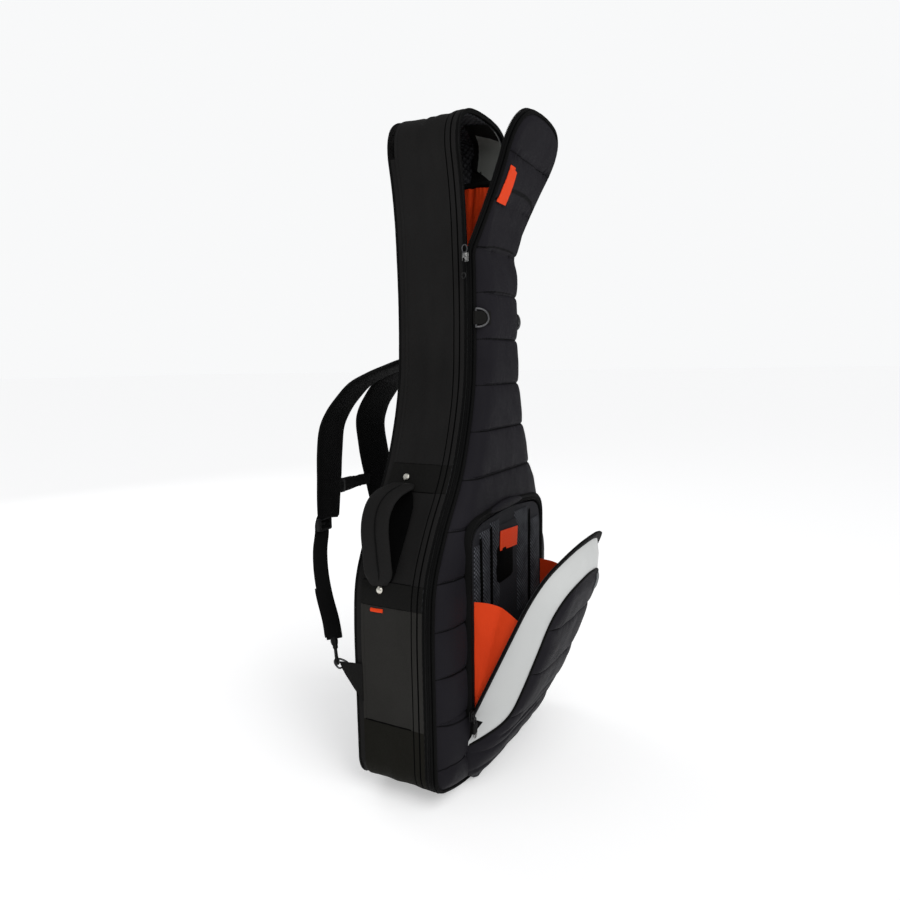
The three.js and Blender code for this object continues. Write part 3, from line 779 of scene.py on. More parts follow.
ACROSS = 96
near_seam = [0, 0.9, 2.0, 3.6, 6, 10, 15, 21, 28, 35, 41, 48, 55, 61, 66, 70, 72.4, 74, 75.1]
ROWS = [60, 64, 68] + [z + d for z in SEAMS[1:-2] for d in near_seam]
ROWS = [z for z in sorted(set(ROWS)) if 60 <= z < 1056] + [1058]
face = quilted(front_net(ACROSS, ROWS, 3.5), -72.0, SEAMS,
               lambda z: 24.0 - 18.6 * min(1, max(0, (z - 865) / 80)), 7.2, 60.0,
               lambda x, z: outline_distance(x, z) - 3.5,
               roll=lambda z: 8.0 + 17.0 * min(1, max(0, (500 - z) / 150)) - 5.8 * min(
                   1, max(0, (z - 865) / 80)))
# the faces on either side of each seam line get the painted crease shade
seam_shade_rows = {i for i, z in enumerate(ROWS) if 140 < z < 1000 and min(abs(z - k) for k in SEAMS) < 0.5}
seam_shade_rows |= {i - 1 for i in seam_shade_rows}
under = front_net(ACROSS, ROWS, 4.5)
under = np.dstack([under[..., 0], np.full(under.shape[:2], -70.6), under[..., 1]])
rings = np.concatenate([lean(face), lean(under)[:, ::-1]], axis=1)
front = sewn("quilted_front", rings, [NYLON, LINING, CREASE_SHADE],
             lambda i, j: 1 if j >= ACROSS else 2 if i in seam_shade_rows else 0, crease=70)
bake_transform(front)
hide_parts("lid_panel", "head_panel")

stitches, along, facing = [], [], []
bent_face = lean(face)
for z in SEAMS[1:-1]:
    run = []
    for j in range(ACROSS):
        heights = face[:, j, 2]
        if heights[0] < z < heights[-1]:
            k = int(np.argmax(heights > z))
            part = (z - heights[k - 1]) / (heights[k] - heights[k - 1])
            run.append(bent_face[k - 1, j] * (1 - part) + bent_face[k, j] * part)
    # near the bottom and the top, thin near-black tubes laid in the seams are painted crease shade
    if not 140 < z < 1000:
        line = tube(f"quilt_seam_shade_{z}", [p + np.array((0, -0.1, 0)) for p in run[1:-1]], 0.75, CREASE_SHADE,
                    sides=6)
        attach(line, "head_flap" if z > FOLD else "lid")
    run = evenly(run, step=3.6)[2:-2]
    stitches += list(run + [0, -0.35, 0])
    along += list(np.gradient(run, axis=0))
    facing += [(0, -1, 0)] * len(run)
stitch_line = set_beads("quilt_stitches", stitches, along, facing, (2.5, 0.9, 0.7), THREAD)
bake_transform(stitch_line)

# ---- Head label and side tag ----
# A blank woven label is sewn over the flap's left edge, and a small folded tag hangs from the
# lower band. Both are the same orange weave.
ORANGE = cloth("orange_weave", (0.72, 0.048, 0.009), (0.86, 0.068, 0.014), 0.62, threads=4200,
               knit=0.3, gloss=0.08)


def skin_sheet(name, top, lift, material, thick=0.7):
    """A thin sheet laid on a net of points, along their outward sides."""
    top = np.array(top, float)
    du = np.gradient(top, axis=0)
    dv = np.gradient(top, axis=1)
    out = np.cross(du, dv)
    out /= np.linalg.norm(out, axis=2)[..., None] + 1e-9
    rings = np.concatenate([top + out * lift, (top + out * (lift - thick))[:, ::-1]], axis=1)
    return sewn(name, rings, [material], crease=50)


label_rows = []
LABEL_LOW, LABEL_HIGH = 977, 1037
LABEL_LEFT, LABEL_RIGHT = 3.5, 35      # from the flap's left edge
for z in np.linspace(LABEL_LOW, LABEL_HIGH, 20):
    near = face[np.abs(face[:, 12, 2] - z) < 6]
    edge = face[int(np.argmin(np.abs(face[:, 12, 2] - z))), 0, 0]
    label_rows.append([(x, min(np.interp(x + dx, r[:, 0], r[:, 1]) for r in near
                               for dx in (-4, 0, 4)), z)
                       for x in edge + np.linspace(LABEL_LEFT, LABEL_RIGHT, 12)])
label_rows = lean(np.array(label_rows))
label = skin_sheet("head_label", np.array(label_rows)[::-1], 1.0, ORANGE, thick=0.9)
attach(label, "head_flap")

tag = []
for rise, z in ((1.0, 333), (2.6, 331), (3.4, 327), (3.0, 322), (1.9, 319.5), (1.0, 322),
                (0.6, 327)):
    tag.append([(-233 - rise + 1.5, y, 321 + (z - 320) * 0.45 + 0.4 * math.sin(y / 7))
                for y in np.linspace(18, 41, 9)])
side_tag = sewn("side_tag", np.swapaxes(np.array(tag), 0, 1), [ORANGE], crease=60)
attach(side_tag, "shell")

# ---- Pocket opening ----
# The front carries a deep pocket. A zip arch is sewn on the quilt, with an organizer of grey
# mesh inside it, pen slots bound in black, and an orange patch over a black pouch.
POCKET_Y, POCKET_Z = -102, 144
POCKET_HALF, POCKET_TOP = 150, 320
OPEN = math.radians(25.8)
MESH_GREY = embossed("organizer_mesh", (0.020, 0.021, 0.025), (0.130, 0.134, 0.150), 0.8, pitch=5,
                     blotch=38)
PLAIN_GREY = cloth("organizer_cloth", (0.014, 0.014, 0.016), (0.023, 0.023, 0.027), 0.75,
                   gloss=0.08)


def arch(edge, low, count=90):
    half, top = POCKET_HALF - edge, POCKET_TOP - edge
    right = np.vstack([[(half, low)], bow((half, top - 52), (half, top - 13), (half - 42, top - 8)),
                       [((half - 42) / 2, top - 2), (0, top)]])
    return evenly(np.vstack([right * [-1, 1], right[-2::-1]]), count=count)


def arch_strip(name, profile, low, material, place, count=120):
    """Sweeps a section round the pocket's arch. profile is pairs of edge distance and depth."""
    rings = []
    runs = [arch(edge, low, count) for edge, _ in profile]
    for i in range(count):
        rings.append([place(runs[k][i][0], profile[k][1], runs[k][i][1])
                      for k in range(len(profile))])
    return sewn(name, rings, [material], crease=45)


def on_lid(x, h, s):
    return (x, POCKET_Y - h, POCKET_Z + s)


def in_flap(x, h, s):
    return (x, POCKET_Y - h * math.cos(OPEN) - s * math.sin(OPEN),
            POCKET_Z - h * math.sin(OPEN) + s * math.cos(OPEN))


track = arch_strip("pocket_track_tape", [(0, -1), (-1.5, 0.4), (-4, 1.0), (-5, 0.2), (-6, 1.2),
                                         (-9, 1.0), (-11.5, -2.5), (-12, -8), (0, -8)],
                   -4, TAPE, on_lid)
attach(track, "lid")
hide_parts("pocket_track")

board = []
for s in np.linspace(-6, POCKET_TOP - 4, 46):
    run = arch(3, -6, 200)
    left = run[:100]
    x = -float(np.interp(s, left[:, 1], left[:, 0])) if s < left[-1, 1] else 4.0
    board.append([on_lid(v * x, -3.2 + 0.7 * wave(v * x / 30, s / 30, 70), s)
                  for v in np.linspace(-1, 1, 40)])
organizer = skin_sheet("organizer", np.array(board), 0.0, PLAIN_GREY, thick=2.0)
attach(organizer, "lid")
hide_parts("pocket_organizer")


def pen_panel(name, x0, x1, low, high, puff, material, seed):
    net = []
    for s in np.linspace(low, high, 30):
        row = []
        for v in np.linspace(0, 1, 16):
            crown = math.sin(math.pi * v) ** 0.35
            ends = min(1, (s - low + 4) / 12, (high - s + 6) / 12)
            row.append(on_lid(x0 + (x1 - x0) * v, -2.2 + crown * ends * puff
                              + 0.5 * wave(v * 4, s / 22, seed), s))
        net.append(row)
    piece = skin_sheet(name, np.array(net), 0.0, material, thick=1.0)
    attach(piece, "lid")
    return piece


for pouch in (
        ("pen_sleeve_outer", -141, -121, 4, 276, 3.2, MESH_GREY, 1.0),
        ("pen_sleeve_inner", -119, -83, 4, 296, 4.2, MESH_GREY, 2.0),
        ("middle_sleeve", -78, 84, 4, 292, 2.6, PLAIN_GREY, 3.0),
        ("middle_mesh_left", -79, -44, 150, 304, 3.2, MESH_GREY, 3.2),
        ("middle_mesh", 24, 84, 110, 304, 4.0, MESH_GREY, 3.5),
        ("end_sleeve", 90, 140, 4, 276, 4.2, MESH_GREY, 4.0),
        ("card_pouch", -68, 14, 190, 258, 5.6, PITCH, 5.0)):
    pen_panel(*pouch)


def ribbon(name, path, wide, width, thick, materials, body=None, square=3.2, count=20,
           taper=0.55, faces=None):
    """A flat strap along a path. wide is the way across it at each point."""
    path = np.array(path, float)
    wide = np.array(wide, float)
    if wide.ndim == 1:
        wide = np.tile(wide, (len(path), 1))
    run = np.gradient(path, axis=0)
    run /= np.linalg.norm(run, axis=1)[:, None]
    wide = wide - run * (wide * run).sum(1)[:, None]
    wide /= np.linalg.norm(wide, axis=1)[:, None]
    flat = np.cross(run, wide)
    widths = np.broadcast_to(width, len(path)).astype(float)
    thicks = np.broadcast_to(thick, len(path)).astype(float)
    angles = (np.arange(count) + 0.5) * math.tau / count
    a = np.sign(np.cos(angles)) * np.abs(np.cos(angles)) ** (2 / square)
    b = np.sign(np.sin(angles)) * np.abs(np.sin(angles)) ** (2 / square)
    rings = []
    for i in range(len(path)):
        shrink = taper if i in (0, len(path) - 1) else 1.0
        rings.append(path[i] + wide[i] * (a * widths[i] / 2 * (0.97 if shrink < 1 else 1))[:, None]
                     + flat[i] * (b * thicks[i] / 2 * shrink)[:, None])
    piece = sewn(name, rings, materials, faces, crease=50)
    if body:
        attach(piece, body)
    return piece


for word, x, low, high in (("outer", -120.3, 2, 286), ("inner", -81, 2, 298), ("end", 87, 2, 298)):
    bound = ribbon("slot_binding_" + word,
                   [on_lid(x + 1.2 * wave(s / 40, x), 2.2 + 0.8 * wave(s / 25, x, 4), s)
                    for s in np.linspace(low, high, 24)], (1, 0, 0), 5, 3.0, [PITCH], "lid")
patch_net = [[on_lid(x - 14 + (s - 265) * 0.10, 4.2 + 0.7 * math.sin(x / 17) + 0.4 * wave(x / 20, s / 20),
                     s - x * 0.06) for x in np.linspace(-34, 36, 16)]
             for s in np.linspace(247, 281, 12)]
patch_piece = skin_sheet("orange_patch", np.array(patch_net), 0.6, ORANGE, thick=1.2)
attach(patch_piece, "lid")

hood = []
for t in np.linspace(0, 1, 24):
    x = -88 + 150 * t
    ridge = math.sin(math.pi * t) ** 0.6
    edge = POCKET_TOP + 1 - abs(x) ** 2 * 0.0006
    ring = []
    for k in range(14):
        turn = k * math.tau / 14
        ring.append(on_lid(x, -2 + 5.0 * ridge * math.sin(turn) + 1.5,
                           edge + 5 + 8.5 * ridge * math.cos(turn)))
    hood.append(ring)
hood = sewn("zip_garage", hood, [NYLON], crease=60)
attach(hood, "lid")

track_run = arch(-2, -2, 330)
track_way = np.gradient(track_run, axis=0)
track_coil = set_beads("track_coil", [on_lid(x, 0.9, s) for x, s in track_run],
                       [(-up, 0, right) for right, up in track_way],
                       np.tile([0, -1.0, 0], (len(track_run), 1)), (3.4, 1.4, 1.4), NYLON_COIL)
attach(track_coil, "lid")

# ---- Pocket front ----
# The zipped front drops open. A wide band of pale coated cloth slopes from the zip to a quilted
# panel, which runs on below the fold to the bag's bottom edge and turns in at both sides.
COATED = cloth("coated_band", (0.50, 0.51, 0.505), (0.60, 0.61, 0.60), 0.42, threads=3000,
               knit=0.05, grain=0.15, blotch=5, gloss=0.2)
outer_left = np.array([(-166, 12, -54), (-160, 4, -34), (-152, 0.5, -12), (-150, 0, 4),
                       (-150, 0, 90), (-150, 0, 160), (-149, 0, 205), (-142, 1, 240),
                       (-125, 3, 268), (-95, 6, 288), (-48, 8, 301), (0, 9, 305)], float)
inner_left = np.array([(-164, 15, -55), (-150, 29, -34), (-131, 44, -5), (-116, 49, 20),
                       (-108, 47, 60), (-105, 42, 120), (-104, 38, 165), (-102, 36, 196),
                       (-93, 36, 222), (-73, 37, 241), (-38, 38, 252), (0, 38, 256)], float)
PANEL_TOP = 256


def even3(left, count):
    run = smooth_run(left, 6)
    full = np.vstack([run, run[-2::-1] * [-1, 1, 1]])
    marks = np.linspace(0, len(full) - 1, count)
    return np.stack([np.interp(marks, np.arange(len(full)), full[:, k]) for k in range(3)], 1)


PLATE = moulded("front_plate", (0.030, 0.036, 0.038), (0.055, 0.064, 0.068), 0.4)
AROUND = 133
rim_run, seam_run = even3(outer_left, AROUND), even3(inner_left, AROUND)
band_rings = []
for i in range(AROUND):
    a, b = rim_run[i], seam_run[i]
    out_side, in_side = [], []
    for v in np.linspace(0, 1, 12):
        p = a * (1 - v) + b * v
        puff = math.sin(math.pi * v) ** 0.8 * (
            3.6 + 2.0 * wave(i / 9, v * 2.2, 80) + 0.9 * wave(i / 3.1 + v * 3, v * 1.5, 84))
        q = p + np.array([0, puff, 0])
        out_side.append(in_flap(*(q + [0, 0.2, 0])))
        in_side.append(in_flap(*(q + [0, -2.0, 0])))
    band_rings.append(out_side + in_side[::-1])
pale_band = sewn("pale_band", band_rings, [COATED, LINING, TAPE],
                 lambda i, j: 1 if j >= 12 else 2 if j < 4 and not 11 < i < AROUND - 13 else 0,
                 crease=60)
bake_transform(pale_band)
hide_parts("pocket_border")

# height of the quilted panel's middle, up the flap and then down the pouch
crest = [(PANEL_TOP, 38), (PANEL_TOP - 8, 41), (236, 46), (210, 48), (158, 53), (95, 60), (50, 61), (10, 60),
         (-12, 58), (-27, 54)]
front_rows = []
PANEL_SEAMS = [36, 76, 112, 150, 226, 302, 378]
flap_levels = set(np.linspace(PANEL_TOP, 246, 5)) | set(np.linspace(246, -27, 68))
for k in PANEL_SEAMS[3:]:
    flap_levels |= {(k - 144 + d) / 0.9 for d in (-4, -2, -0.9, 0, 0.9, 2, 4) if k < 380}
flap_levels = sorted((v for v in flap_levels if -27 <= v <= PANEL_TOP), reverse=True)
for s in flap_levels:
    h = float(np.interp(-s, [-c[0] for c in crest], [c[1] for c in crest]))
    left = seam_run[:AROUND // 2 + 1]
    x = -float(np.interp(s, left[:, 2], left[:, 0]))
    edge = float(np.interp(s, left[:, 2], left[:, 1]))
    front_rows.append(("flap", s, h, max(x, 3.0), edge))
POUCH = [(95, -141, 164, -93), (84, -137, 164, -92), (66, -128, 161, -91), (46, -117, 155, -89),
         (26, -104, 142, -86), (13, -94, 124, -83),
         (6, -85, 106, -79)]
pouch_marks = np.linspace(0, 1, 30)
pouch_run = np.stack([np.interp(pouch_marks * (len(POUCH) - 1), np.arange(len(POUCH)),
                                [p[k] for p in POUCH]) for k in range(4)], 1)
panel_rows = []
for kind, s, h, x, edge in front_rows:
    row = []
    for v in np.linspace(-1, 1, 70):
        px = v * x
        rim_gap = x - abs(px)
        rise = edge + (h - edge) * (1 - math.exp(-rim_gap / 15))
        level = 144 + s * 0.9
        gap = min(abs(level - k) for k in PANEL_SEAMS)
        fade = min(1, rim_gap / 12, max(0, (PANEL_TOP - s) / 26))
        rise += fade * (3.2 * (1 - math.exp(-gap / 2.4)) + 3.4 * (1 - math.exp(-gap / 15)) - 3.0
                        + 0.8 * wave(px / 7, s / 18, 93) * math.exp(-gap / 12)
                        + 1.6 * wave(px / 34, s / 30, 95))
        row.append(in_flap(px, rise, s))
    panel_rows.append(row)
for z, y, x, edge in pouch_run[1:]:
    row = []
    for v in np.linspace(-1, 1, 70):
        px = v * x
        rim_gap = x - abs(px)
        deep = edge + (y - edge) * (1 - math.exp(-rim_gap / 20))
        lift = z * (1 - math.exp(-rim_gap / 20)) + (z - 3) * math.exp(-rim_gap / 20)
        gap = min(abs(z - k) for k in PANEL_SEAMS)
        fade = min(1, rim_gap / 12) * min(1, (z - 6) / 20)
        deep -= fade * (3.2 * (1 - math.exp(-gap / 2.4)) + 3.4 * (1 - math.exp(-gap / 15)) - 3.0
                        + 1.8 * wave(px / 36, z / 24, 97)
                        + 0.9 * wave(px / 8, z / 16, 98) * math.exp(-gap / 12))
        row.append((px, deep, lift))
    panel_rows.append(row)
panel_rows = np.array(panel_rows)
inner_rows = panel_rows.copy()
shape = inner_rows[..., 1]
inner_rows[..., 1] = np.minimum(shape + 7, -88)
inner_rows[..., 1] = np.where(shape > -95, shape + 1.5, inner_rows[..., 1])
panel_skin = np.concatenate([panel_rows, inner_rows[:, ::-1]], axis=1)
# the faces on either side of each panel seam get the painted crease shade
panel_seam_shade_rows = {i for i, row in enumerate(front_rows)
               if min(abs(144 + row[1] * 0.9 - k) for k in PANEL_SEAMS) < 0.3}
panel_seam_shade_rows |= {i - 1 for i in panel_seam_shade_rows}
pocket_panel = sewn("pocket_quilt", panel_skin, [NYLON, LINING, CREASE_SHADE],
                    lambda i, j: 1 if j >= 70 else 2 if i in panel_seam_shade_rows else 0, crease=70)
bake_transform(pocket_panel)
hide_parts("pocket_front", "pouch_front", "pouch_cheek_left", "pouch_cheek_right")


seam_cord = tube("panel_cord", [in_flap(x, h + 1.0, s) for x, h, s in seam_run[2:-2]], 2.4, TAPE)
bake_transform(seam_cord)
edge_tape = []
edge_run = rim_run[13:-13]
for i in range(len(edge_run)):
    x, h, s = edge_run[i]
    run = edge_run[min(i + 1, len(edge_run) - 1)] - edge_run[max(i - 1, 0)]
    out = np.array([-run[2], run[0]]) / math.hypot(run[0], run[2])
    ring = []
    for far, deep in ((-5, 1.6), (-2, 3.2), (2, 3.9), (5.5, 3.9), (6.5, 2.9), (9.5, 3.0), (11, 1.4),
                      (9.5, 0.0), (4, -0.2), (-5, -1.0)):
        ring.append(in_flap(x + out[0] * far, h + deep + 0.8, s + out[1] * far))
    edge_tape.append(ring)
flap_tape = sewn("flap_zip_tape", edge_tape, [TAPE], crease=45)
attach(flap_tape, "pocket_flap")
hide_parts("pocket_tape")

plate_rows = []
for s in np.linspace(214, 243, 8):
    row = []
    for px in np.linspace(48, 92, 10):
        i = int(np.argmin([abs(r[1] - s) for r in front_rows]))
        line = panel_rows[i]
        row.append([np.interp(px, line[:, 0], line[:, k]) for k in range(3)])
    plate_rows.append(row)
plate = skin_sheet("front_plate", np.array(plate_rows)[::-1], 1.4, PLATE, thick=1.8)
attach(plate, "pocket_flap")

rim_marks = evenly(edge_run, step=3.0)
rim_way = np.gradient(rim_marks, axis=0)
rim_side = np.stack([-rim_way[:, 2], 0 * rim_way[:, 1], rim_way[:, 0]], 1)
rim_out = rim_side / np.linalg.norm(rim_way, axis=1)[:, None]
COIL_INSET, COIL_LIFT = 9.6, 4.4
flap_coil_row = set_beads(
    "flap_zip_row",
    [in_flap(x, h + COIL_LIFT, s) for x, h, s in rim_marks + rim_out * COIL_INSET],
    [np.array(in_flap(*side)) - np.array(in_flap(0, 0, 0)) for side in rim_side],
    np.tile([0, -math.cos(OPEN), -math.sin(OPEN)], (len(rim_marks), 1)), (3.2, 1.5, 1.6), NYLON_COIL)
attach(flap_coil_row, "pocket_flap")

# ---- Pocket side webs ----
# An orange web on each side stops the front from falling right open. It creases inwards when
# the pocket is zipped shut.
for side, word in ((-1, "left"), (1, "right")):
    net = []
    for v in np.linspace(0, 1, 22):
        low = np.array(on_lid(side * 148, 0.5, 6))
        high = np.array(on_lid(side * 146, 0.5, 186))
        far_low = np.array(in_flap(side * 148, 1, 10))
        far_high = np.array(in_flap(side * 147, 1, 182))
        row = []
        for u in np.linspace(0, 1, 26):
            near = low * (1 - u) + high * u
            far = far_low * (1 - u) + far_high * u
            p = near * (1 - v) + far * v
            crown = math.sin(math.pi * v)
            fold = -side * 9 * u * (1 - abs(v - 0.55) / 0.55) if v < 1 else 0
            p = p + [fold * 0.9 + side * 0.6 * wave(u * 5, v * 5, side), 0, u * u * crown * 8]
            row.append(p)
        net.append(row)
    web = skin_sheet("side_web_" + word, np.array(net), 0.0, ORANGE, thick=1.0)
    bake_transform(web)
    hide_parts("pocket_gusset_" + word)

# ---- Lining and head fittings ----
# Inside, a quilted lining covers the back. The neck rests in a padded cradle under a strap. The
# head has a framed window pocket, a black band and an orange sleeve with a gathered top.
def rear_net(across, rows, inset, y):
    flat = front_net(across, rows, inset)
    return np.dstack([flat[..., 0], np.full(flat.shape[:2], y), flat[..., 1]])


lining_face = quilted(front_net(60, 130, 9.6), 60.4, np.arange(-60, 1300, 90), 6.0, 2.0, 140.0,
                      lambda x, z: outline_distance(x, z) - 9.4, roll=5)
lining_rings = np.concatenate([lining_face, rear_net(60, 130, 9.8, 60.9)[:, ::-1]], axis=1)
back_lining = sewn("back_lining_quilt", lining_rings, [LINING], crease=70)
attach(back_lining, "shell")
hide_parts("back_lining")

groove = np.array([(-46, 51), (-46.5, 30), (-46, 13), (-43, 8), (-37, 6.4), (-26, 6.4), (-18, 7.4),
                   (-14.5, 12), (-11, 18), (-5, 21.5), (0, 22.4), (5, 21.5), (11, 18), (14.5, 12),
                   (18, 7.4), (26, 6.4), (37, 6.4), (43, 8), (46, 13), (46.5, 30), (46, 51)], float)
cradle_rings = []
for z, shrink in ((800, 2.6), (801, 1.0), (804, 0.2), (812, 0), (822, -0.3), (832, 0), (840, 0.2),
                  (843, 1.0), (844, 2.6)):
    ring = [(x * (1 - shrink / 46), y + (shrink if y < 45 else 0), z) for x, y in groove]
    cradle_rings.append(ring)
cradle = sewn("neck_cradle_pad", cradle_rings, [NECK_CLOTH], crease=60)
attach(cradle, "shell")
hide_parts("neck_cradle")

tie = ribbon("neck_tie", [(x, 2.4 - 0.8 * math.cos(x / 30), 822) for x in np.linspace(-46, 46, 16)],
             (0, 0, 1), 29, 2.4, [BAND_CLOTH], "neck_strap")
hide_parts("neck_strap")


def inner_wall(s, y, lift):
    (x, h), (ox, oz) = on_outline(s)
    return np.array((x - ox * (WALL + lift), y, h - oz * (WALL + lift)))


def wall_patch(name, corners, lift, material, thick=1.0, rows=22, across=20):
    """A piece laid on the inner wall. corners are marks round the outline with depths, in order
    low front, low back, high back, high front."""
    a, b, c, d = [np.array(k, float) for k in corners]
    net = []
    for v in np.linspace(0, 1, rows):
        near, far = a * (1 - v) + d * v, b * (1 - v) + c * v
        net.append([inner_wall(*(near * (1 - u) + far * u), lift(v, u))
                    for u in np.linspace(0, 1, across)])
    piece = skin_sheet(name, np.array(net), 0.0, material, thick=thick)
    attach(piece, "shell")
    return piece


SLEEVE_ORANGE = cloth("sleeve_orange", (0.90, 0.058, 0.010), (0.97, 0.080, 0.015), 0.65,
                      threads=4200, knit=0.3, gloss=0.06)
low, high = up_to(932), up_to(1032)
sleeve = wall_patch("orange_sleeve", [(low, -39), (low, 41), (high + 2, 34), (high, -39)],
                    lambda v, u: 1.2 + 9.0 * v ** 1.4 * math.sin(math.pi * u) ** 0.6
                    + 0.5 * math.sin(u * 60) * v ** 9 - 3.2 * v * math.exp(-((u - 0.55) / 0.06) ** 2)
                    + 1.1 * wave(u * 5, v * 4, 150), SLEEVE_ORANGE, rows=28,
                    across=60)
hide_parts("head_sleeve")
low, high = up_to(1031), up_to(1048)
sleeve_band = wall_patch("sleeve_top_band", [(low, -44), (low, 40), (high, 28), (high, -46)],
                         lambda v, u: 2.0 + 7.0 * math.sin(math.pi * v)
                         * (1 + 0.3 * wave(u * 8, v, 152)), BAND_CLOTH, thick=1.6)
WINDOW = cloth("window_cloth", (0.17, 0.175, 0.163), (0.23, 0.237, 0.222), 0.55, threads=3000,
               knit=0.15, gloss=0.25)
window_frame = wall_patch("window_frame", [(1254, -56), (1270, 11), (1440, -22), (1426, -60)],
                          lambda v, u: 2.5 + 7 * math.sin(math.pi * v), BAND_CLOTH,
                          thick=1.6)
window = wall_patch("window_cloth", [(1266, -56), (1288, -2), (1416, -28), (1396, -60)],
                    lambda v, u: 4.5 + 6.6 * math.sin(math.pi * v), WINDOW, thick=1.0)
pull_loop = ribbon("window_pull", [inner_wall(s, y, lift) for s, y, lift in (
    (1334, -2, 8), (1322, 1, 13), (1310, 0, 16), (1298, -4, 15), (1292, -10, 11), (1296, -14, 9))],
                   (0.2, 1, 0.3), 6, 1.6, [TAPE], "shell")

# ---- Main zip sliders ----
# Two plated sliders meet at the fold. Each is two plates with a nose and a bridge, and carries a
# long ring-ended pull.
PLATED = moulded("slider_plate", (0.17, 0.17, 0.168), (0.36, 0.36, 0.35), 0.27, metal=1.0)
GUN_METAL = moulded("gun_metal", (0.060, 0.060, 0.063), (0.120, 0.120, 0.124), 0.36, metal=1.0)
BLACKENED = moulded("blackened_metal", (0.020, 0.020, 0.020), (0.045, 0.045, 0.045), 0.34, metal=1.0)
CREAM_METAL = moulded("rivet_cap", (0.70, 0.68, 0.60), (0.84, 0.82, 0.75), 0.34, metal=0.85)
PLASTIC = moulded("moulded_black", (0.0035, 0.0035, 0.0038), (0.008, 0.008, 0.008), 0.42, gloss=0.12)
RUBBER = moulded("pull_rubber", (0.004, 0.004, 0.004), (0.009, 0.009, 0.009), 0.6, gloss=0.1)


def bricks(name, parts, materials):
    """Rounded blocks joined in one mesh. Each part is centre, size, corner radius and material."""
    whole = bmesh.new()
    for centre, size, corner, slot in parts:
        block = bmesh.new()
        bmesh.ops.create_cube(block, size=1)
        bmesh.ops.scale(block, vec=Vector(size) / 1000, verts=block.verts)
        bmesh.ops.bevel(block, geom=block.edges[:] + block.verts[:], offset=corner / 1000,
                        segments=3, affect="EDGES", profile=0.5)
        bmesh.ops.translate(block, vec=Vector(centre) / 1000, verts=block.verts)
        for f in block.faces:
            f.material_index = slot
            f.smooth = True
        bmesh.ops.recalc_face_normals(block, faces=block.faces)
        held = bpy.data.meshes.new("held")
        block.to_mesh(held)
        block.free()
        whole.from_mesh(held)
        bpy.data.meshes.remove(held)
    mesh = bpy.data.meshes.new(name)
    whole.to_mesh(mesh)
    whole.free()
    mesh.uv_layers.new(name="UVMap")
    for material in materials:
        mesh.materials.append(material)
    mesh.set_sharp_from_angle(angle=math.radians(40))
    piece = bpy.data.objects.new(name, mesh)
    bpy.context.collection.objects.link(piece)
    return piece


def loop_path(centre, u, v, half_u, half_v, power=3.0, count=40):
    """A closed rounded ring path spanned by two directions."""
    t = np.arange(count) * math.tau / count
    a = np.sign(np.cos(t)) * np.abs(np.cos(t)) ** (2 / power) * half_u
    b = np.sign(np.sin(t)) * np.abs(np.sin(t)) ** (2 / power) * half_v
    return np.array(centre) + a[:, None] * np.array(u) + b[:, None] * np.array(v)


for side, word in ((-1, "left"), (1, "right")):
    x = side * 80.9
    body = bricks("slider_body_" + word, [
        ((x - side * 1.9, -61, 890), (2.0, 10, 15), 0.9, 0),
        ((x + side * 1.9, -61, 890), (2.2, 9.4, 13.5), 1.0, 0),
        ((x, -61, 896), (3.4, 4.5, 5), 1.0, 0),
        ((x + side * 2.6, -61, 893.6), (3.4, 7.0, 6.0), 1.6, 0),
        ((x + side * 3.0, -61, 886.4), (3.0, 5.6, 5.4), 1.5, 0),
        ((x + side * 5.4, -61, 890.5), (1.6, 3.2, 10.4), 0.7, 0)], [PLATED])
    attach(body, "slider_" + word)
    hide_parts("zip_slider_" + word)
    bridge = tube("slider_ring_" + word, loop_path((x + side * 2.2, -61, 903), (0, 1, 0), (0, 0, 1),
                                                   4.6, 6.4, 2.0), 1.1, GUN_METAL, loop=True, sides=8)
    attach(bridge, "slider_" + word)
    px = side * 87.3
    cord = ribbon("pull_cord_" + word, [(px - side * 0.4 + 0.3 * math.sin(z), -61, z)
                                        for z in np.linspace(888, 863, 12)], (0, 1, 0), 3.4, 2.0,
                  [TAPE], "pull_" + word)
    ring = tube("pull_ring_" + word, loop_path((px, -61, 859.5), (0, 1, 0), (0, 0, 1), 3.4, 4.6, 2.0),
                1.1, BLACKENED, loop=True, sides=8)
    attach(ring, "pull_" + word)
    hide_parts("zip_pull_" + word)

# ---- Pocket slider ----
# The pocket's slider is black, with a moulded rubber pull that ends in a small metal eye.
px = -164.5
body = bricks("pocket_slider_body", [
    ((px, -103.4, 144), (11.4, 2.2, 17), 0.9, 0), ((px, -106.8, 144), (10.6, 2.4, 16), 1.0, 0),
    ((px, -105.0, 149), (4, 3.4, 5), 1.0, 0), ((px, -108.8, 148.6), (3, 3.2, 2.4), 0.9, 0),
    ((px, -108.8, 140.4), (3, 3.2, 2.4), 0.9, 0), ((px, -110.3, 144.6), (3, 1.5, 10.6), 0.7, 0)],
    [PLASTIC])
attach(body, "pocket_slider")
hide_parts("pocket_slider")
eye_ring = tube("pocket_pull_ring", loop_path((px, -110.8, 137), (1, 0, 0), (0, 0, 1), 3.6, 5.6),
                1.1, BLACKENED, loop=True, sides=8)
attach(eye_ring, "pocket_pull")
grip = bricks("pocket_pull_grip", [
    ((px, -110.9, 124.5), (11.5, 4.2, 19), 1.8, 0), ((px, -113.0, 124.5), (6.4, 1.2, 2), 0.5, 0),
    ((px, -113.0, 128), (6.4, 1.2, 2), 0.5, 0), ((px, -113.0, 121), (6.4, 1.2, 2), 0.5, 0)], [RUBBER])
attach(grip, "pocket_pull")
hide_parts("pocket_pull")
tip = tube("pocket_pull_eye", loop_path((px, -110.9, 113.4), (1, 0, 0), (0, 0, 1), 4.2, 4.6, 2.0),
           1.5, PLATED, loop=True, sides=8)
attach(tip, "pocket_pull")

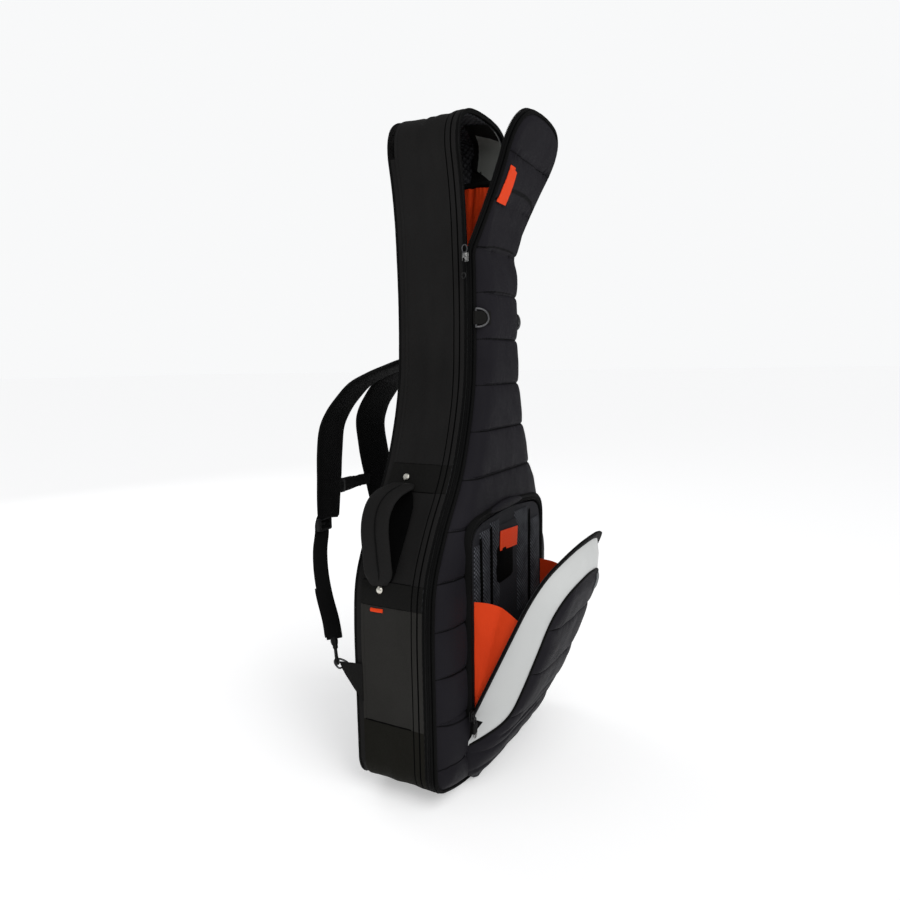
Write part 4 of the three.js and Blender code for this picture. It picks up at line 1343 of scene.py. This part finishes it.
# ---- Neck rings and tabs ----
# A wire D-ring hangs on a short webbing tab at each side of the neck.
for side, word, out in ((-1, "left", (0.66, -0.75)), (1, "right", (0.98, -0.14))):
    out = np.array(out) / math.hypot(*out)
    t = np.linspace(0, math.pi, 34)
    bend = [(side * 78 + out[0] * 21.5 * math.sin(a) ** 0.8, -78 + out[1] * 21.5 * math.sin(a) ** 0.8,
             791 + 15 * math.cos(a)) for a in t]
    leg = [(side * 78, -78, 791 + z) for z in np.linspace(-13, 13, 10)]
    ring = tube("d_ring_" + word, bend + leg, 1.9, GUN_METAL, loop=True, sides=10)
    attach(ring, "neck_ring_" + word)
    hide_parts("neck_ring_" + word)
    tab = ribbon("ring_tab_loop_" + word, [(side * x, y, 791) for x, y in (
        (76.5, -72), (80.2, -75), (81, -78.4), (78.6, -81.2), (75, -82.2), (72.2, -84.4),
        (68.4, -88.6), (63, -93.4), (58, -95.6))], (0, 0, 1), 22, 1.7, [BAND_CLOTH], "lid")
    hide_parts("ring_tab_" + word)

# ---- Side handle ----
# A broad padded grip is bolted through the two bands, with a domed rivet beside each end.
grip_path = smooth_run([(-143, 22, 516), (-154, 22, 515.5), (-170, 24, 513), (-190, 29, 507),
                        (-208, 33, 494), (-219.5, 35, 474), (-227, 33, 450), (-232, 28, 425),
                        (-235, 24, 400), (-235, 22, 384), (-234.5, 22, 372), (-232.5, 22, 366)], 5)
part = np.linspace(0, 1, len(grip_path))
ends = np.minimum(1, np.minimum(part / 0.14, (1 - part) / 0.22))
ends = ends * ends * (3 - 2 * ends)
grip_width = 27 + 20 * ends + np.array([1.0 * wave(v * 9, 3.3) for v in part])
handle = ribbon("handle_grip", grip_path, (-0.25, 1, 0), grip_width, 4.0 + 7.5 * ends, [NECK_CLOTH],
                "handle", square=2.6, count=36)
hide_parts("side_handle")
fold_line = tube("handle_seam", [p + np.array((-1.5 - 4.2 * e, -4 * e, 1.5 + 2.5 * e))
                                 for p, e in zip(grip_path[4:-4], ends[4:-4])], 0.9, TAPE)
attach(fold_line, "handle")
# behind the grip a black sheet on the wall is painted shade, darkening the wall to stand in for the shadow
# in the deep finger gap
gap_shade_rows = []
HOLLOW = [(374, 3, 17), (385, 0, 22), (397, -1, 26), (423, -3, 29), (455, -4, 30), (482, -2, 31),
          (497, 4, 32), (503, 10, 28)]
for t in np.linspace(0, len(HOLLOW) - 1, 34):
    z, front_y, rear_y = [float(np.interp(t, range(len(HOLLOW)), [k[m] for k in HOLLOW]))
                          for m in range(3)]
    (wx, wz), (ox, oz) = on_outline(ROUND - up_to(z))
    rear_y += 14
    gap_shade_rows.append([(wx + ox * rise, front_y + (rear_y - front_y) * u, wz + oz * rise)
                       for u, rise in zip(np.linspace(0, 1, 14), [0.2] + [1.3] * 12 + [0.2])])
gap_shade_sheet = skin_sheet("black_cloth_and_handle_gap_shade", np.array(gap_shade_rows)[::-1], 0.0, PITCH, thick=4.0)
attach(gap_shade_sheet, "shell")


def soften(node, levels=2):
    """Rounds a carried-over metal piece without touching its mesh."""
    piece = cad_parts[node]
    join = piece.modifiers.new("join", "WELD")
    join.merge_threshold = 0.00002
    round_off = piece.modifiers.new("round", "SUBSURF")
    round_off.levels = levels
    round_off.render_levels = levels
    return piece


def repaint(piece, material):
    for slot in piece.material_slots:
        slot.material = material
    if not piece.material_slots:
        piece.data.materials.append(material)


for node in ("rivet_top", "rivet_bottom"):
    repaint(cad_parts[node], CREAM_METAL)

# ---- Back panel ----
# The back is one padded panel with a yoke for the straps, and a lumbar pad in channelled mesh.
back_face = quilted(front_net(84, 200, 0.8), 70.4, [-999], 1.8, 1.2, 170.0,
                    lambda x, z: outline_distance(x, z) - 0.8, out=1, roll=9)
back_rings = np.concatenate([back_face, rear_net(84, 200, 0.8, 61.0)[:, ::-1]], axis=1)
back = sewn("back_cloth", back_rings, [NECK_CLOTH], crease=70)
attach(back, "shell")
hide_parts("back_panel")
AIR_MESH = embossed("air_mesh", (0.0022, 0.0022, 0.0022), (0.0048, 0.0048, 0.0048), 0.8, pitch=4.2)


def pad_block(name, x0, x1, z0, z1, base, height, across, down, material, corner=22, seed=0.0):
    net = []
    for z in np.linspace(z0, z1, max(30, int((z1 - z0) / 4.5))):
        row = []
        for x in np.linspace(x0, x1, max(30, int((x1 - x0) / 4.5))):
            dx = min(x - x0, x1 - x)
            dz = min(z - z0, z1 - z)
            if dx < corner and dz < corner:
                d = corner - math.hypot(corner - dx, corner - dz)
            else:
                d = min(dx, dz)
            rise = height * (1 - math.exp(-max(0, d) / 4.5))
            gap = min([abs(x - k) for k in across] + [abs(z - k) for k in down] + [999])
            rise -= height * 0.55 * math.exp(-gap / 5) * min(1, max(0, d) / 14)
            rise += 0.6 * wave(x / 24, z / 24, seed) * min(1, max(0, d) / 10)
            row.append((x, base + max(rise, 0.05), z))
        net.append(row)
    net = np.array(net)
    under = net.copy()
    under[..., 1] = base - 0.6
    rings = np.concatenate([net, under[:, ::-1]], axis=1)
    piece = sewn(name, rings, [material], crease=60)
    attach(piece, "shell")
    return piece


lumbar = pad_block("lumbar_pad", -150, 150, 120, 390, 70.9, 12.5, [-50, 50],
                   [174, 228, 282, 336], AIR_MESH, seed=4.0)
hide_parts("back_pad")
yoke = pad_block("strap_yoke", -64, 64, 652, 750, 70.9, 5.6, [], [], BAND_CLOTH, corner=12, seed=6.0)
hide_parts("yoke")

# ---- Straps ----
# Two padded shoulder straps in air mesh with bound edges come out of the yoke. Webbing runs from
# each ladder lock to a snap hook, and a sternum strap joins the two.
PADDED = [(36, 82, 722), (36, 88, 719.5), (39, 112, 711), (43, 145, 699), (48, 179, 682),
          (53, 205, 657), (58, 226, 629), (64, 238, 598), (72, 239, 553), (80, 236, 507),
          (87, 234, 464), (92, 232, 430)]
WEB = [(93, 237, 444), (96, 242, 430), (100, 242.5, 416), (104, 239.5, 402), (113, 238, 370),
       (127, 226, 333), (145, 204, 297), (167, 174, 263), (194, 147, 242)]
for side, word in ((-1, "left"), (1, "right")):
    run = smooth_run(np.array(PADDED) * [side, 1, 1], 6)
    share = np.linspace(0, 1, len(run))
    width = 66 - 12 * np.clip((share - 0.8) / 0.2, 0, 1) - 14 * np.clip((0.12 - share) / 0.12, 0, 1)
    width = width + np.array([3.2 * wave(v * 8, side * 3.0) for v in share])
    thick = 11.5 - 5 * np.clip((share - 0.86) / 0.14, 0, 1) - 5 * np.clip((0.06 - share) / 0.06, 0, 1)
    tilt = -0.06 if side < 0 else -0.42
    across_strap = np.array([(1, tilt * min(1, v / 0.15), 0) for v in share], float)
    pad = ribbon("shoulder_pad_" + word, run, across_strap, width, thick, [AIR_MESH], "harness",
                 square=3.4, count=28)
    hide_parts("shoulder_strap_" + word)
    tangent = np.gradient(run, axis=0)
    tangent /= np.linalg.norm(tangent, axis=1)[:, None]
    wide = across_strap - tangent * (across_strap * tangent).sum(1)[:, None]
    wide /= np.linalg.norm(wide, axis=1)[:, None]
    outward = np.cross(tangent, wide)
    outward *= np.sign(outward[:, 1:2] + 1e-9)
    for edge, label in ((-1, "in"), (1, "out")):
        bind = tube(f"strap_binding_{word}_{label}",
                    run[2:-1] + wide[2:-1] * (edge * width[2:-1] / 2 * 0.985)[:, None], 2.3, TAPE)
        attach(bind, "harness")
    rail = ribbon("strap_rail_" + word, run[10:-4] + outward[10:-4] * 6.0, across_strap[10:-4],
                  24, 1.6, [TAPE], "harness")
    web_run = smooth_run(np.array(WEB) * [side, 1, 1], 6)
    web_across = np.array([(0.97 - 0.45 * v, side * (0.22 + 0.62 * v), 0)
                           for v in np.linspace(0, 1, len(web_run))])
    strap_web = ribbon("strap_web_" + word, web_run, web_across, 28, 2.6, [TAPE], "harness")
    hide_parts("strap_webbing_" + word)
    fold = ribbon("web_fold_" + word, web_run[-15:-1] + np.array([side * 1.6, 2.4, 0.6]),
                  web_across[-15:-1], 28, 2.6, [TAPE], "harness")
    lock = bricks("ladder_lock_frame_" + word, [
        ((side * 82, 238, 419), (5, 9, 24), 1.8, 0), ((side * 114, 238, 419), (5, 9, 24), 1.8, 0),
        ((side * 98, 236, 429.6), (34, 4.4, 4.4), 1.6, 0),
        ((side * 98, 239.8, 419), (34, 3.0, 5), 1.3, 0),
        ((side * 98, 236, 408.6), (34, 5.4, 4.6), 1.8, 0),
        ((side * 98, 243.2, 409.4), (30, 2.4, 9), 1.1, 0)], [PLASTIC])
    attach(lock, "harness")
    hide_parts("ladder_lock_" + word)
sternum = ribbon("sternum_web", [(x, 236.4 + 1.6 * math.cos(x / 22), 484 + 1.5 * math.sin(x / 16))
                                 for x in np.linspace(-52, 52, 26)], (0, 0, 1), 23, 2.6, [TAPE],
                 "harness")
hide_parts("sternum_strap")
buckle = bricks("sternum_clip", [
    ((-14, 241.6, 484), (24, 8, 26), 2.6, 0), ((13, 241.6, 484), (22, 7, 22), 2.4, 0),
    ((1, 241.6, 494), (14, 5.4, 4.2), 1.8, 0), ((1, 241.6, 474), (14, 5.4, 4.2), 1.8, 0),
    ((25, 241.6, 484), (4, 5, 24), 1.6, 0), ((-26, 241.6, 484), (4, 5, 24), 1.6, 0),
    ((-12, 245.6, 484), (12, 1.2, 14), 0.5, 0),
    ((-38, 238.5, 484), (14, 7, 28), 2.0, 0)], [PLASTIC])
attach(buckle, "harness")
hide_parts("sternum_buckle")

# ---- Strap hooks and rear tabs ----
# Each strap clips to a wire ring on a triangular webbing wing sewn in the back seam.
for side, word in ((-1, "left"), (1, "right")):
    net = []
    for v in np.linspace(0, 1, 14):
        top = np.array((side * 234.6, 60 + 46 * v, 229 - 5 * v))
        low = np.array((side * 234.6, 60 + 40 * v, 164 + 48 * v))
        net.append([top * (1 - u) + low * u + [side * (1.2 * math.sin(math.pi * v)
                    + 0.8 * wave(u * 2, v * 3, side)), 0, 0] for u in np.linspace(0, 1, 12)])
    wing = skin_sheet("ring_wing_" + word, np.array(net), 0.9, BAND_CLOTH, thick=2.6)
    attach(wing, "shell")
    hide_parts("rear_tab_" + word)
    ring = soften("rear_ring_" + word)
    repaint(ring, GUN_METAL)
    clasp = tube("snap_hook_frame_" + word, smooth_run([(side * x, y, z) for x, y, z in (
        (203.5, 140.5, 241), (206, 137, 236), (211, 132.5, 230.5), (219, 125.5, 228), (225.6, 119.6, 223.5),
        (227, 118, 218), (223.5, 119, 213.8), (218, 122.6, 213.2), (213.6, 126.5, 216.6))], 4),
        [4.6] * 7 + [3.0] * 26, PLASTIC, sides=12)
    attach(clasp, "hook_" + word)
    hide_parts("snap_hook_" + word)
    gate = tube("hook_gate_" + word, [(side * 210.8, 133, 229), (side * 211.4, 130.8, 224.5),
                                      (side * 212.2, 128.6, 220.6), (side * 213, 127, 217.4)],
                [1.8, 2.0, 1.9, 1.5], PLATED, sides=10)
    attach(gate, "hook_" + word)
    collar = tube("hook_collar_" + word, [(side * 200.5, 143.5, 244.5), (side * 203, 141, 241.5),
                                          (side * 205.5, 138, 238)], [6.2, 6.6, 5.6], PLASTIC, sides=14)
    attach(collar, "hook_" + word)
